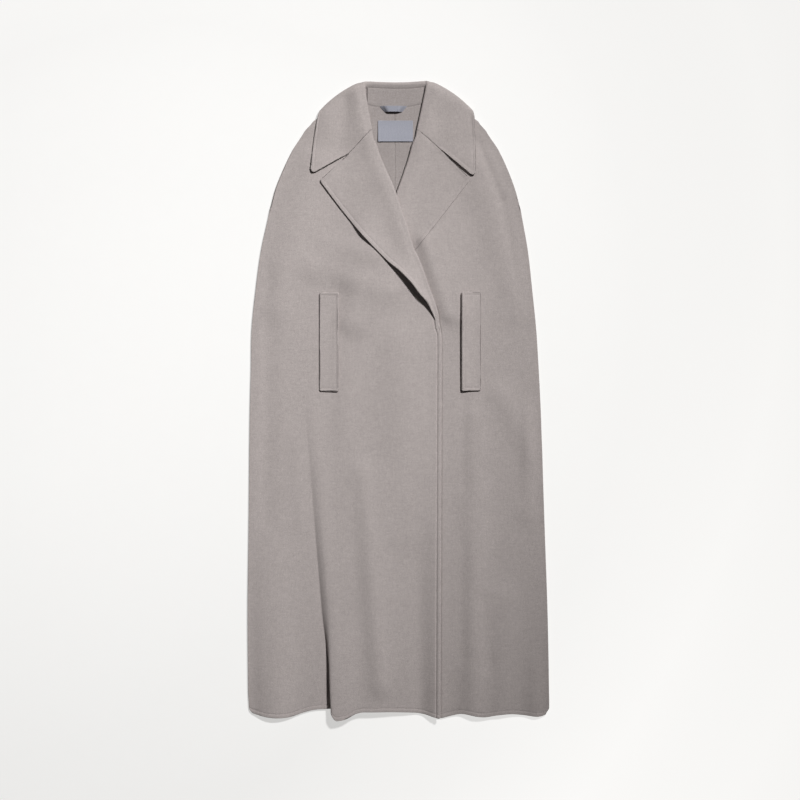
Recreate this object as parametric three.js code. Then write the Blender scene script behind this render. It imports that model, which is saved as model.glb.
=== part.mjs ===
// Wool cape coat, closed and laid flat on its back: collar to +Y, hem to -Y, the surface it lies on at z = 0.
// Sizes are millimetres. X and Y are measured from the middle of the coat's length, near its centre front.
import * as THREE from 'three';

// Cloth and layers
const CLOTH = 2.4;            // thickness of the double-faced wool
const SEAM_GAP = 0.3;         // between neighbouring pieces
const LAYER = 3.4;            // one layer's middle to the next, with a little air
const EDGE_LAYER = 2.7;       // the same where two panels meet at the outline
const FLAT = CLOTH / 2;       // middle height of the cloth that lies on the surface
const ROLL_RADIUS = 3;        // middle of the cloth at the collar's and lapels' roll
const LAPEL_STACK = 5.8;      // extra height of a layer that lies over the other side's rolled lapel

// Main lines across the length
const SHOULDER_Y = 602;       // neck end of the shoulder line
const GORGE_Y = 536;          // where collar and lapel meet on the roll line
const BREAK_Y = 162;          // where the lapels start to turn
const HEM_Y = -622;
const BACK_HEM_Y = -613;
const SHOULDER_DROP = 48;     // from the neck end of the shoulder to its outer end
const CENTRE_BACK_X = -8;
const UNDER_EDGE_X = -89;     // hidden front edge of the wearer's left front

// Helpers for numbers, tables and outlines
const clamp = (t, low = 0, high = 1) => Math.min(high, Math.max(low, t));
const mix = (a, b, t) => a + (b - a) * t;
const smooth = (t) => clamp(t) ** 2 * (3 - 2 * clamp(t));
const radians = THREE.MathUtils.degToRad;

function table(columns, rows) {
  return rows.map((row) => Object.fromEntries(columns.map((name, i) => [name, row[i]])));
}

// A value between rows of a table, along a smooth curve through them
function between(rows, column, place) {
  const start = clamp(Math.floor(place), 0, rows.length - 2);
  const t = clamp(place - start);
  const at = (i) => rows[clamp(i, 0, rows.length - 1)][column];
  const [a, b, c, d] = [at(start - 1), at(start), at(start + 1), at(start + 2)];
  return b + 0.5 * t * (c - a + t * (2 * a - 5 * b + 4 * c - d + t * (3 * (b - c) + d - a)));
}

// Place in a table whose key column falls from row to row
function placeOf(rows, key, value) {
  const next = rows.findIndex((row) => row[key] < value);
  if (next === 0) return 0;
  if (next < 0) return rows.length - 1;
  const [a, b] = [rows[next - 1][key], rows[next][key]];
  return next - 1 + (a - value) / (a - b);
}

const lookUp = (rows, key, column, value) => between(rows, column, placeOf(rows, key, value));

function straightLookUp(rows, key, column, value) {
  const place = placeOf(rows, key, value);
  const start = Math.min(Math.floor(place), rows.length - 2);
  return mix(rows[start][column], rows[start + 1][column], clamp(place - start));
}

function toSegment(x, y, a, b) {
  const [dx, dy] = [b.x - a.x, b.y - a.y];
  const t = clamp(((x - a.x) * dx + (y - a.y) * dy) / (dx * dx + dy * dy || 1));
  return { t, distance: Math.hypot(x - a.x - dx * t, y - a.y - dy * t) };
}

function distanceOutside(outline, x, y) {
  let inside = false;
  let nearest = Infinity;
  outline.forEach((b, i) => {
    const a = outline[(i + outline.length - 1) % outline.length];
    nearest = Math.min(nearest, toSegment(x, y, a, b).distance);
    const crosses = a.y > y !== b.y > y && x < a.x + ((b.x - a.x) * (y - a.y)) / (b.y - a.y);
    if (crosses) inside = !inside;
  });
  return inside ? 0 : nearest;
}

// 1 over a hidden layer and a margin round it, falling to 0 at the end of the reach
const over = (outline, x, y, reach, margin = 8) =>
  1 - smooth((distanceOutside(outline, x, y) - margin) / reach);

// Outline of the coat: side edges from the shoulder's outer end to the hem
const SIDES = table(['y', 'left', 'right'], [
  [554, -171, 159], [538, -186, 173], [498, -211.5, 199], [458, -231, 218], [418, -247, 233],
  [378, -258, 244], [298, -275, 258], [218, -286, 267], [138, -294, 275], [58, -295.5, 280],
  [-22, -297.5, 284], [-102, -298.5, 287], [-262, -300, 292], [-422, -302, 297.5], [-582, -301, 300.5],
  [-622, -299, 301],
]);

// Hem: how far it hangs below the hem line, from the left edge to the right one
const HEM = table(['x', 'drop'], [
  [301, 2], [293, 9], [279, 12.5], [251, 9.5], [223, 7], [195, 9.5], [173, 13], [155, 11.5], [131, 7],
  [119, 7.5], [95, 13], [83, 15.5], [67, 12], [55, 8], [35, 4.5], [-13, 2.5], [-57, 2.5], [-73, 2.5],
  [-87, 6], [-97, 12], [-107, 17], [-121, 20], [-135, 18],
]);
const HEM_LEFT_OF_FOLD = table(['x', 'drop'], [
  [-145, -3], [-169, -1], [-193, 5], [-217, 13], [-241, 15], [-265, 13], [-289, 7], [-301, 2],
]);

// Inner edges from the neck down: neck seam, then the line on which the lapel rolls
const NECK_EDGE = table(['y', 'left', 'right'], [[602, -82, 73], [575, -71, 61], [552, -61, 49.5], [542, -57, 45]]);
const ROLL_LINE = table(['y', 'over', 'under'], [
  [536, -49.3, 36.7], [508, -41.3, 27.5], [412, -3.3, -3.3], [298, 33.2, -40], [258, 50, -53],
  [218, 62.7, -65.8], [183, 75.2, -76.7], [162, 79.8, -83.3],
]);

// Lapels: outer edge from the tip to the break, and the corner of the notch on the way to the tip
const OVER_LAPEL = table(['x', 'y', 'lift'], [
  [-158, 436, 0], [-119, 384, 0], [-94, 352.5, 1], [-72, 326, 4], [-47.5, 300, 1.5], [-22, 274.5, 3],
  [3, 253.5, 8], [25.5, 230.5, 12], [42.7, 208, 12], [58, 190.5, 9], [73, 158, 0],
]);
const UNDER_LAPEL = table(['x', 'y', 'lift'], [
  [143.7, 438.5, 0], [87.7, 366, 0], [32.7, 297, 0], [-25, 227, 0], [-83.3, 162, 0],
]);
const OVER_NOTCH = { x: -99.7, y: 489.5 };
const UNDER_NOTCH = { x: 85.9, y: 496 };

// Hidden layers that lift what lies over them
const points = (pairs) => table(['x', 'y'], pairs);
const COLLAR_UNDERSIDE = points([
  [-168, 585], [-160, 562], [-118, 541], [-60, 528], [-8, 525], [52, 528], [103, 541], [148, 562],
  [156, 585], [60, 660], [-66, 660],
]);
const UNDER_BODY = points([
  [-3.3, 430], [-3.3, 412], [-83.3, 162], [UNDER_EDGE_X, 150], [UNDER_EDGE_X, -660], [110, -660], [110, 430],
]);
const HIDDEN_LAPEL = points([
  [-3.3, 416], [-83.3, 162], [-25, 221], [32.7, 291], [142.7, 430], [60, 440],
]);

// Soft ridges of the cloth: from a start to an end, with their height at each
const RIDGE_COLUMNS = ['x0', 'y0', 'x1', 'y1', 'halfWidth', 'startHeight', 'endHeight'];
const OVER_RIDGES = table(RIDGE_COLUMNS, [
  [-165, 470, -252, 190, 34, 5, 4],
  [-133, 300, -50, 292, 30, 3, 5],
  [-40, -170, -38, -640, 36, 2, 10],
  [82, -120, 82, -640, 24, 1, 9],
  [-246, -260, -246, -640, 34, 1, 9],
]);
const UNDER_RIDGES = table(RIDGE_COLUMNS, [
  [150, 480, 238, 180, 32, 5, 3],
  [152, -40, 152, -640, 26, 3, 10],
  [262, -30, 258, -230, 20, 4, 3],
  [214, -400, 205, -640, 26, 3, 8],
  [276, -520, 276, -640, 18, 1, 6],
]);

// The deep fold low on the wearer's right front: its line, and its size at the hem
const FOLD = {
  topX: -182, topY: 8, hemX: -131, height: 19, overhang: 27, fade: 62, halfSpan: 14, restShare: 0.289,
};

// Heights of the middle of each layer
function ridgeHeight(ridges, x, y) {
  return ridges.reduce((sum, row) => {
    const near = toSegment(x, y, { x: row.x0, y: row.y0 }, { x: row.x1, y: row.y1 });
    const height = mix(row.startHeight, row.endHeight, near.t);
    return sum + height * Math.exp(-((near.distance / row.halfWidth) ** 2));
  }, 0);
}

const backHeight = (x, y) => FLAT + LAYER * over(COLLAR_UNDERSIDE, x, y, 60, 4);

// Share of the full height, which fades to the outline where the front meets the back
function awayFromEdge(x, y) {
  const left = lookUp(SIDES, 'y', 'left', y);
  const right = lookUp(SIDES, 'y', 'right', y);
  return smooth((Math.min(x - left, right - x)) / 30);
}

function underHeight(x, y) {
  const inner = awayFromEdge(x, y);
  const swell = ridgeHeight(UNDER_RIDGES, x, y) * inner;
  return backHeight(x, y) + mix(EDGE_LAYER, LAYER, inner) + swell;
}

function overHeight(x, y) {
  const inner = awayFromEdge(x, y);
  const hidden = over(UNDER_BODY, x, y, 30);
  const swell = ridgeHeight(OVER_RIDGES, x, y) * inner + ridgeHeight(UNDER_RIDGES, x, y) * hidden;
  const stack = LAYER * hidden + LAPEL_STACK * over(HIDDEN_LAPEL, x, y, 36);
  return backHeight(x, y) + mix(EDGE_LAYER, LAYER, inner) + stack + swell;
}

const rollLoft = (distance) => (2 * ROLL_RADIUS - LAYER) * Math.exp(-((distance / 34) ** 2));

// A closed wall of cloth: a sheet of rows of points, thickened to both sides. A null point leaves its place open.
class Sheet {
  constructor() {
    this.points = [];
    this.triangles = [];
    this.known = new Map();
  }

  index(point) {
    const key = point.toArray().map((value) => Math.round(value * 500)).join();
    if (!this.known.has(key)) {
      this.known.set(key, this.points.length);
      this.points.push(point);
    }
    return this.known.get(key);
  }

  addTriangle(...corners) {
    if (corners.some((corner) => !corner)) return;
    const [a, b, c] = corners.map((corner) => this.index(corner));
    if (a !== b && b !== c && c !== a) this.triangles.push([a, b, c]);
  }

  addRows(rows) {
    for (let i = 1; i < rows.length; i++) {
      for (let j = 1; j < rows[i].length; j++) {
        const [a, b, c, d] = [rows[i - 1][j - 1], rows[i - 1][j], rows[i][j], rows[i][j - 1]];
        if (!(a && b && c && d)) continue;
        this.addTriangle(a, c, b);
        this.addTriangle(a, d, c);
      }
    }
    return this;
  }

  normals() {
    const sums = this.points.map(() => new THREE.Vector3());
    for (const [a, b, c] of this.triangles) {
      const side = this.points[b].clone().sub(this.points[a]);
      const face = side.cross(this.points[c].clone().sub(this.points[a]));
      [a, b, c].forEach((i) => sums[i].add(face));
    }
    return sums.map((sum) => sum.normalize());
  }

  openEdges() {
    const edges = new Map();
    for (const [a, b, c] of this.triangles) {
      [[a, b], [b, c], [c, a]].forEach(([from, to]) => edges.set(`${from}_${to}`, [from, to]));
    }
    return [...edges.values()].filter(([from, to]) => !edges.has(`${to}_${from}`));
  }

  wall(thickness) {
    const count = this.points.length;
    const normals = this.normals();
    const shifted = (sign) => this.points.flatMap((point, i) =>
      point.clone().addScaledVector(normals[i], (sign * thickness) / 2).toArray());
    const faces = this.triangles.flatMap(([a, b, c]) => [a, b, c, a + count, c + count, b + count]);
    this.openEdges().forEach(([a, b]) => faces.push(b, a, a + count, b, a + count, b + count));
    const geometry = new THREE.BufferGeometry();
    geometry.setAttribute('position', new THREE.Float32BufferAttribute([...shifted(1), ...shifted(-1)], 3));
    geometry.setIndex(faces);
    return facingOut(geometry);
  }
}

function facingOut(geometry) {
  const position = geometry.getAttribute('position');
  const index = geometry.getIndex();
  const corner = (i) => new THREE.Vector3().fromBufferAttribute(position, index.getX(i));
  let volume = 0;
  for (let i = 0; i < index.count; i += 3) volume += corner(i).dot(corner(i + 1).cross(corner(i + 2)));
  if (volume < 0) {
    for (let i = 0; i < index.count; i += 3) {
      const first = index.getX(i);
      index.setX(i, index.getX(i + 1));
      index.setX(i + 1, first);
    }
  }
  geometry.computeVertexNormals();
  return geometry;
}

const vector = (x, y, z) => new THREE.Vector3(x, y, z);
const steps = (count) => Array.from({ length: count + 1 }, (_, i) => i / count);
const spread = (from, to, count) => steps(count).map((t) => mix(from, to, t));

// Rows of the fronts and backs, by the height of their inner end
const ROW_HEIGHTS = [
  ...spread(SHOULDER_Y, 552, 3), 542, ...spread(GORGE_Y, 205, 12), 190, 176, BREAK_Y,
  140, 110, ...spread(60, HEM_Y + 22, 12), HEM_Y,
];

// The side end of a row lies lower than its inner end at the shoulder, and level with it from the chest down
const sideY = (innerY) => innerY - SHOULDER_DROP * (1 - smooth((SHOULDER_Y - innerY) / 300));

const SHOULDER_BOW = 4;
const shoulderBow = (innerY, t) => SHOULDER_BOW * 4 * t * (1 - t) * (1 - smooth((SHOULDER_Y - innerY) / 60));
const nearHem = (y) => smooth((y - HEM_Y - 130) / -130);

// The two fronts differ in side, edge, lapel, height and columns
const OVER_FRONT = {
  side: 'left', roll: 'over', edgeX: 85.5, hemEdgeX: 82.7, lapel: OVER_LAPEL, notch: OVER_NOTCH, height: overHeight,
  inward: 1, left: 4, right: 13,
};
const UNDER_FRONT = {
  side: 'right', roll: 'under', edgeX: UNDER_EDGE_X, hemEdgeX: UNDER_EDGE_X, lapel: UNDER_LAPEL, notch: UNDER_NOTCH,
  height: underHeight, inward: -1, columns: 22,
};

function innerX(front, y) {
  if (y > GORGE_Y) {
    const neckEnd = { y: GORGE_Y, [front.side]: rollBase(front, GORGE_Y).x };
    return straightLookUp([...NECK_EDGE, neckEnd], 'y', front.side, y);
  }
  if (y >= BREAK_Y) return rollBase(front, y).x;
  const edge = mix(front.edgeX, front.hemEdgeX, clamp((BREAK_Y - y) / (BREAK_Y - HEM_Y)));
  return mix(ROLL_LINE.at(-1)[front.roll], edge, smooth((BREAK_Y - y) / 44));
}

// How far the lapel is turned over: fully above the break, and not at all at it
const turn = (y) => Math.PI * Math.sqrt(smooth((y - BREAK_Y) / 46));

function rollNormal(front, y) {
  const step = 4;
  const slope = lookUp(ROLL_LINE, 'y', front.roll, y + step) - lookUp(ROLL_LINE, 'y', front.roll, y - step);
  return vector(front.inward, (-front.inward * slope) / (2 * step), 0).normalize();
}

function rollBase(front, y) {
  const line = vector(lookUp(ROLL_LINE, 'y', front.roll, y), y, 0);
  return line.addScaledVector(rollNormal(front, y), -ROLL_RADIUS * Math.sin(Math.min(turn(y), Math.PI / 2)));
}

const foldX = (y) => mix(FOLD.topX, FOLD.hemX, clamp((FOLD.topY - y) / (FOLD.topY - HEM_Y)));
const foldShare = (y) => smooth((FOLD.topY + 40 - y) / (FOLD.topY - HEM_Y));

// Columns of the over front keep close together along the deep fold
function overColumns(sideX, edgeX, y) {
  const middle = y < FOLD.topY ? foldX(y) : mix(sideX, edgeX, FOLD.restShare);
  const blend = y < FOLD.topY ? 1 : 1 - smooth((y - FOLD.topY) / 200);
  const centre = mix(mix(sideX, edgeX, FOLD.restShare), middle, blend);
  const half = FOLD.halfSpan;
  return [
    ...spread(sideX, centre - half, OVER_FRONT.left).slice(0, -1).map((x) => ({ x, offset: x - centre })),
    ...spread(-half, half, 8).map((offset) => ({ x: centre + offset, offset })),
    ...spread(centre + half, edgeX, OVER_FRONT.right).slice(1).map((x) => ({ x, offset: x - centre })),
  ];
}

const plainColumns = (sideX, edgeX, count) => spread(sideX, edgeX, count).map((x) => ({ x, offset: -Infinity }));

// The deep fold: the cloth on its right rises and leans over the cloth on its left
function foldShift(offset, y) {
  if (offset === -Infinity) return { across: 0, up: 0 };
  const share = foldShare(y);
  const rise = smooth((offset + 7) / 14);
  const near = Math.exp(-((offset / 16) ** 2));
  const slack = Math.exp(-Math.max(0, offset - 7) / FOLD.fade);
  return { across: FOLD.overhang * share * near * (0.5 - rise), up: FOLD.height * share * rise * slack };
}

// The hem's own step at the deep fold is rounder than the fold
function hemDrop(x, offset) {
  const right = lookUp(HEM, 'x', 'drop', x);
  const share = offset === -Infinity ? 1 : smooth((offset + 3) / 18);
  return share < 1 ? mix(lookUp(HEM_LEFT_OF_FOLD, 'x', 'drop', x), right, share) : right;
}

function frontBody(front, y) {
  const sideX = lookUp(SIDES, 'y', front.side, sideY(y));
  const edgeX = innerX(front, y);
  const columns = front === OVER_FRONT ? overColumns(sideX, edgeX, y) : plainColumns(sideX, edgeX, front.columns);
  return columns.map(({ x, offset }) => {
    const t = (x - sideX) / (edgeX - sideX);
    const fold = foldShift(offset, y);
    const level = mix(sideY(y), y, t) + shoulderBow(y, t);
    const low = level - hemDrop(x, offset) * nearHem(y);
    return vector(x + fold.across, low, front.height(x + fold.across, level) + fold.up);
  });
}

// The roll and the lapel: a half turn over the roll line, then out to the lapel's edge
const ROLL_STEPS = 5;
const LAPEL_STEPS = 6;
const NOTCH_STEP = 3;
const SETTLE = 13;            // distance from the roll within which the leaf comes down to its level

function lapelEnd(front, y) {
  const place = clamp((GORGE_Y - y) / (GORGE_Y - BREAK_Y)) ** 1.15 * (front.lapel.length - 1);
  return ['x', 'y', 'lift'].map((column) => between(front.lapel, column, place));
}

function lapelPart(front, y, bodyEnd) {
  if (y > GORGE_Y || y < BREAK_Y) return Array(ROLL_STEPS + LAPEL_STEPS).fill(null);
  if (y === BREAK_Y) return Array(ROLL_STEPS + LAPEL_STEPS).fill(bodyEnd);
  const [endX, endY, lift] = lapelEnd(front, y);
  const normal = rollNormal(front, y);
  const angle = turn(y);
  const roll = steps(ROLL_STEPS).slice(1).map((t) => bodyEnd.clone()
    .addScaledVector(normal, ROLL_RADIUS * Math.sin(angle * t))
    .add(vector(0, 0, ROLL_RADIUS * (1 - Math.cos(angle * t)))));
  const start = roll.at(-1);
  const reach = Math.hypot(endX - start.x, endY - start.y);
  const corner = y === GORGE_Y ? vector(front.notch.x, front.notch.y, 0) : null;
  const leaf = leafPath(start, corner, vector(endX, endY, 0), LAPEL_STEPS).map((point, i) => {
    const t = (i + 1) / LAPEL_STEPS;
    const settled = front.height(point.x, point.y) + LAYER + rollLoft(reach * t) + lift * t ** 2;
    return point.setZ(mix(start.z, settled, smooth((reach * t) / SETTLE)));
  });
  return [...roll, ...leaf];
}

// Points of a leaf from the roll to its edge. Along the gorge seam they turn at the corner of the notch.
function leafPath(start, corner, end, count) {
  return steps(count).slice(1).map((t) => {
    if (!corner) return start.clone().lerp(end, t);
    const bend = NOTCH_STEP / count;
    return t <= bend + 1e-9 ? start.clone().lerp(corner, t / bend) : corner.clone().lerp(end, (t - bend) / (1 - bend));
  });
}

function frontWall(front) {
  const rows = ROW_HEIGHTS.map((y) => {
    const body = frontBody(front, y);
    return [...body, ...lapelPart(front, y, body.at(-1))];
  });
  return new Sheet().addRows(rows).wall(CLOTH);
}

// Backs: from the side to the centre back seam, up to the shoulder line and the neck seam
const NECK_SEAM = table(['x', 'y'], [
  [90, 608], [71, 602], [60, 596], [50, 591], [34, 586.5], [14, 583.2], [-8, 582], [-30, 583], [-50, 585],
  [-62, 588.5], [-70, 593.5], [-80.5, 602], [-100, 608],
]);
const neckSeamY = (x) => lookUp(NECK_SEAM, 'x', 'y', x);
const SHOULDER_COLUMNS = 5;
const NECK_COLUMNS = 9;
const SHOULDER_END_Y = SHOULDER_Y - SHOULDER_DROP;

function backTop(x, sideX, neckX) {
  const t = clamp((x - sideX) / (neckX - sideX));
  return t < 1 ? mix(SHOULDER_END_Y, SHOULDER_Y, t) + SHOULDER_BOW * 4 * t * (1 - t) : neckSeamY(x);
}

function backWall(side) {
  const centre = CENTRE_BACK_X + (side === 'left' ? -SEAM_GAP / 2 : SEAM_GAP / 2);
  const levels = [
    ...spread(SHOULDER_END_Y, 450, 9), ...spread(450, 250, 3).slice(1), ...spread(250, BACK_HEM_Y, 7).slice(1),
  ];
  const topSideX = SIDES[0][side];
  const neckX = side === 'left' ? -80.5 : 71;
  const topXs = [...spread(topSideX, neckX, SHOULDER_COLUMNS), ...spread(neckX, centre, NECK_COLUMNS).slice(1)];
  const rows = levels.map((level) => {
    const sideX = lookUp(SIDES, 'y', side, level);
    return topXs.map((topX) => {
      const x = mix(sideX, centre, (topX - topSideX) / (centre - topSideX));
      const rise = backTop(topX, topSideX, neckX) - SHOULDER_END_Y;
      const y = level + rise * (1 - smooth((SHOULDER_END_Y - level) / 300));
      return vector(x, y, backHeight(x, y));
    });
  });
  return new Sheet().addRows(rows).wall(CLOTH);
}

// Collar fall: sections from the left gorge round the neck to the right gorge. Out is the direction in which
// its roll faces. Fold is 90 where the leaf lies on the front, 0 on the shoulder's outline, -90 under the back.
const COLLAR = table(['rollX', 'rollY', 'out', 'endX', 'endY', 'bow', 'fold', 'strip'], [
  [-49.3, 537.1, 9, -176.5, 446.5, -12, 90, 0.3],
  [-52, 553, 9, -174.5, 474, -5, 90, 2],
  [-56, 577, 9, -171, 505, 0, 90, 9],
  [-60, 601, 10, -167, 533, 3, 90, 15],
  [-63, 619, 14, -161.5, 558, 6, 66, 15.5],
  [-63.5, 630.5, 35, -153, 571, 6, 0, 13],
  [-57, 633, 70, -149, 567, 4, -66, 7.7],
  [-42, 632.5, 86, -114, 545, 0, -90, 7.6],
  [-26, 632, 89, -66, 533, 0, -90, 8],
  [-5, 631.5, 90, -8, 529, 0, -90, 8],
  [18, 632, 91, 50, 533, 0, -90, 8.2],
  [34, 633, 94, 98, 545, 0, -90, 8],
  [49, 634, 110, 138, 567, 4, -66, 7.7],
  [55.5, 632, 145, 144, 571, 6, 0, 13],
  [54.5, 621, 166, 150.5, 558, 6, 66, 15.5],
  [51, 603, 170, 153, 534, 3, 90, 15],
  [46, 579, 169, 154, 508, 0, 90, 9],
  [40.5, 554, 168, 154.5, 474, 0, 90, 2],
  [36.7, 537.1, 168, 153.5, 440, 0, 90, 0.3],
]);
const COLLAR_ROWS_BETWEEN = 3;
const STRIP_STEPS = 2;
const LEAF_STEPS = 6;
const GORGE_GAP = 0.8;        // up the coat, which leaves the seam's own gap across it

function collarSection(place) {
  const at = (column) => between(COLLAR, column, place);
  const fold = radians(clamp(at('fold'), -90, 90));
  const up = Math.sin(fold);
  const front = (1 + up) / 2;
  const outward = vector(Math.cos(radians(at('out'))), Math.sin(radians(at('out'))), 0);
  const base = vector(at('rollX'), at('rollY'), 0).addScaledVector(outward, -ROLL_RADIUS);
  const along = vector(at('endX'), at('endY'), 0).sub(base);
  const reach = along.length();
  const isLeft = place < (COLLAR.length - 1) / 2;
  const across = vector(-along.y, along.x, 0).normalize().multiplyScalar(isLeft ? -1 : 1);
  const lying = isLeft ? overHeight : underHeight;
  const turned = across.clone().multiplyScalar(Math.cos(fold)).add(vector(0, 0, up));
  const frontLevel = lying(base.x, base.y);
  const axisHeight = mix(FLAT + ROLL_RADIUS, frontLevel + ROLL_RADIUS, front);
  const axis = base.clone().setZ(axisHeight);
  const arc = steps(ROLL_STEPS).map((t) => axis.clone()
    .addScaledVector(turned, -ROLL_RADIUS * Math.cos(Math.PI * t))
    .addScaledVector(outward, ROLL_RADIUS * Math.sin(Math.PI * t)));
  const strip = steps(STRIP_STEPS).slice(1).reverse().map((t) => {
    const point = arc[0].clone().addScaledVector(outward, -at('strip') * t);
    const seamLevel = mix(FLAT + LAYER, frontLevel, front);
    return point.setZ(mix(arc[0].z, seamLevel, smooth(t)));
  });
  const leafStart = arc.at(-1);
  const atGorge = place === 0 || place === COLLAR.length - 1;
  const notch = isLeft ? OVER_NOTCH : UNDER_NOTCH;
  const corner = atGorge ? vector(notch.x, notch.y + GORGE_GAP, 0) : null;
  const leaf = leafPath(base, corner, base.clone().add(along), LEAF_STEPS).map((flat, i) => {
    const t = (i + 1) / LEAF_STEPS;
    if (!atGorge) flat.addScaledVector(across, at('bow') * 4 * t * (1 - t));
    const top = lying(flat.x, flat.y) + LAYER + rollLoft(reach * t);
    const half = (top - FLAT) / 2;
    const level = FLAT + half + half * up;
    const settled = smooth((reach * t) / SETTLE);
    const sideways = mix(ROLL_RADIUS, (FLAT + 2 * LAYER) / 2 + 1, settled) * Math.cos(fold);
    return flat.addScaledVector(across, sideways).setZ(mix(leafStart.z, level, settled));
  });
  return [...strip, ...arc, ...leaf];
}

function collarFall() {
  const rows = steps((COLLAR.length - 1) * COLLAR_ROWS_BETWEEN).map((t) => collarSection(t * (COLLAR.length - 1)));
  return new Sheet().addRows(rows).wall(CLOTH);
}

// Collar stand: from the neck seam up to the seam of the fall's inner strip, under the leaves at its ends
function collarStand() {
  const ends = { first: 6, last: 12 };
  const places = spread(ends.first, ends.last, (ends.last - ends.first) * COLLAR_ROWS_BETWEEN);
  const tops = places.map((place) => collarSection(place)[0]);
  const rows = steps(2).map((t) => tops.map((top) => {
    const bottom = neckSeamY(top.x) + 1.5 * SEAM_GAP;
    return vector(top.x, mix(bottom, top.y - 1.5 * SEAM_GAP, t), FLAT + LAYER);
  }));
  return new Sheet().addRows(rows).wall(CLOTH);
}

// Flat pieces that lie on a panel: a grid of points raised from the panel's own height
function laidPiece({ left, right, bottom, top, thickness, height, taper = 0, arch = () => 0, columns, rows }) {
  const lift = CLOTH / 2 + SEAM_GAP + thickness / 2;
  const grid = steps(rows).map((v) => {
    const inset = taper * v;
    return steps(columns).map((u) => {
      const [x, y] = [mix(left + inset, right - inset, u), mix(top, bottom, v)];
      return vector(x, y, height(x, y) + lift + arch(u, v));
    });
  });
  return new Sheet().addRows(grid).wall(thickness);
}

// Welts of the arm slits: their inner edge lies free and stands a little off the front
const WELT = { width: 39, length: 198, thickness: 3, rise: 2.5, columns: 4, rows: 8 };
const weltAt = (left, top, height, openAt) => laidPiece({
  left, right: left + WELT.width, top, bottom: top - WELT.length, thickness: WELT.thickness,
  height, columns: WELT.columns, rows: WELT.rows,
  arch: (u) => 0.5 + WELT.rise * smooth(openAt ? u : 1 - u),
});

const LOOP = { left: -37.5, right: 17, bottom: 573, top: 585, thickness: 1, taper: 10, rise: 3.5 };
const LABEL = { left: -41.3, right: 28.7, bottom: 514, top: 556, thickness: 0.8 };

const hangerLoop = () => laidPiece({
  ...LOOP, top: LOOP.top - SEAM_GAP, height: backHeight, columns: 10, rows: 2,
  arch: (u) => 0.2 + LOOP.rise * smooth(4 * u * (1 - u)),
});
const label = () => laidPiece({ ...LABEL, height: backHeight, columns: 8, rows: 6, arch: () => 0.3 });

// Materials
const cloth = (color) => new THREE.MeshStandardMaterial({ color, roughness: 0.95, metalness: 0 });
const WOOL = '#a49d9a';
const TRIM = '#9c9ea9';

const PIECES = [
  ['back_left', () => backWall('right'), WOOL],
  ['back_right', () => backWall('left'), WOOL],
  ['front_left', () => frontWall(UNDER_FRONT), WOOL],
  ['front_right', () => frontWall(OVER_FRONT), WOOL],
  ['collar_stand', collarStand, WOOL],
  ['collar_fall', collarFall, WOOL],
  ['welt_right', () => weltAt(-158.3, 213, overHeight, true), WOOL],
  ['welt_left', () => weltAt(125.5, 214, underHeight, false), WOOL],
  ['hanger_loop', hangerLoop, TRIM],
  ['label', label, TRIM],
];

// The origin is under the middle of the coat's outline, on the surface that it lies on
function centredOnFloor(group) {
  const box = new THREE.Box3().setFromObject(group);
  const middle = box.getCenter(new THREE.Vector3());
  group.position.set(-middle.x, -middle.y, -box.min.z);
  return group;
}

const coat = new THREE.Group();
for (const [name, shape, color] of PIECES) {
  const piece = new THREE.Mesh(shape(), cloth(color));
  piece.name = name;
  coat.add(piece);
}

export default centredOnFloor(coat);
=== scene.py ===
# Wool cape coat, laid flat and seen from straight above. Sizes are millimetres in the coat's own drawing and
# metres in Blender. X and Y are measured from near the centre front; the frame says where that drawing lies.
import math
from types import SimpleNamespace as Values

import bpy
import numpy as np
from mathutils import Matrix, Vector


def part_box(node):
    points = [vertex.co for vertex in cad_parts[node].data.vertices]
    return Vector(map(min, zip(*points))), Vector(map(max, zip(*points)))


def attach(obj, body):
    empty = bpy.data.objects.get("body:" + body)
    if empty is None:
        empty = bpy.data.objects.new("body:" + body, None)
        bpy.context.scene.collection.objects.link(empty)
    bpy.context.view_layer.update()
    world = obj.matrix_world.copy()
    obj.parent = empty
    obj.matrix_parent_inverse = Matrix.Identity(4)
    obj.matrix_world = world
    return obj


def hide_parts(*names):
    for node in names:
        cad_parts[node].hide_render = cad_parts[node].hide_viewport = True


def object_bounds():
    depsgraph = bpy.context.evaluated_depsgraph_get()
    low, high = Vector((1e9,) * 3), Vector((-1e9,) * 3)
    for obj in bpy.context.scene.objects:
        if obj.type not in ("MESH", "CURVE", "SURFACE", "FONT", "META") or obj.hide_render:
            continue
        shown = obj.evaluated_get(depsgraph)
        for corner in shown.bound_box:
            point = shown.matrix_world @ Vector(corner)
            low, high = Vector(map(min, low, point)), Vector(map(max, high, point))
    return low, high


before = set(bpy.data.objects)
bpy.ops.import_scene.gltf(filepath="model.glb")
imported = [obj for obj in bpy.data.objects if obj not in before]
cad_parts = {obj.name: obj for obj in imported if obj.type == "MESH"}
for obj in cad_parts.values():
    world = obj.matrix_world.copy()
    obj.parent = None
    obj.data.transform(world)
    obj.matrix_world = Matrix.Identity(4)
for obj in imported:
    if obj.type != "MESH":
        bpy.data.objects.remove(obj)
cad_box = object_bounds()

MM = 0.001

# Cloth and layers
CLOTH = 2.4             # thickness of the double-faced wool
SEAM_GAP = 0.3
LAYER = 3.4             # one layer's middle to the next
EDGE_LAYER = 2.7        # the same where two panels meet at the outline
FLAT = CLOTH / 2        # middle height of the cloth that lies on the floor
ROLL_RADIUS = 3.0       # middle of the cloth at the collar's and lapels' roll
LAPEL_STACK = 5.8       # extra height of a layer that lies over the other side's rolled lapel

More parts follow.
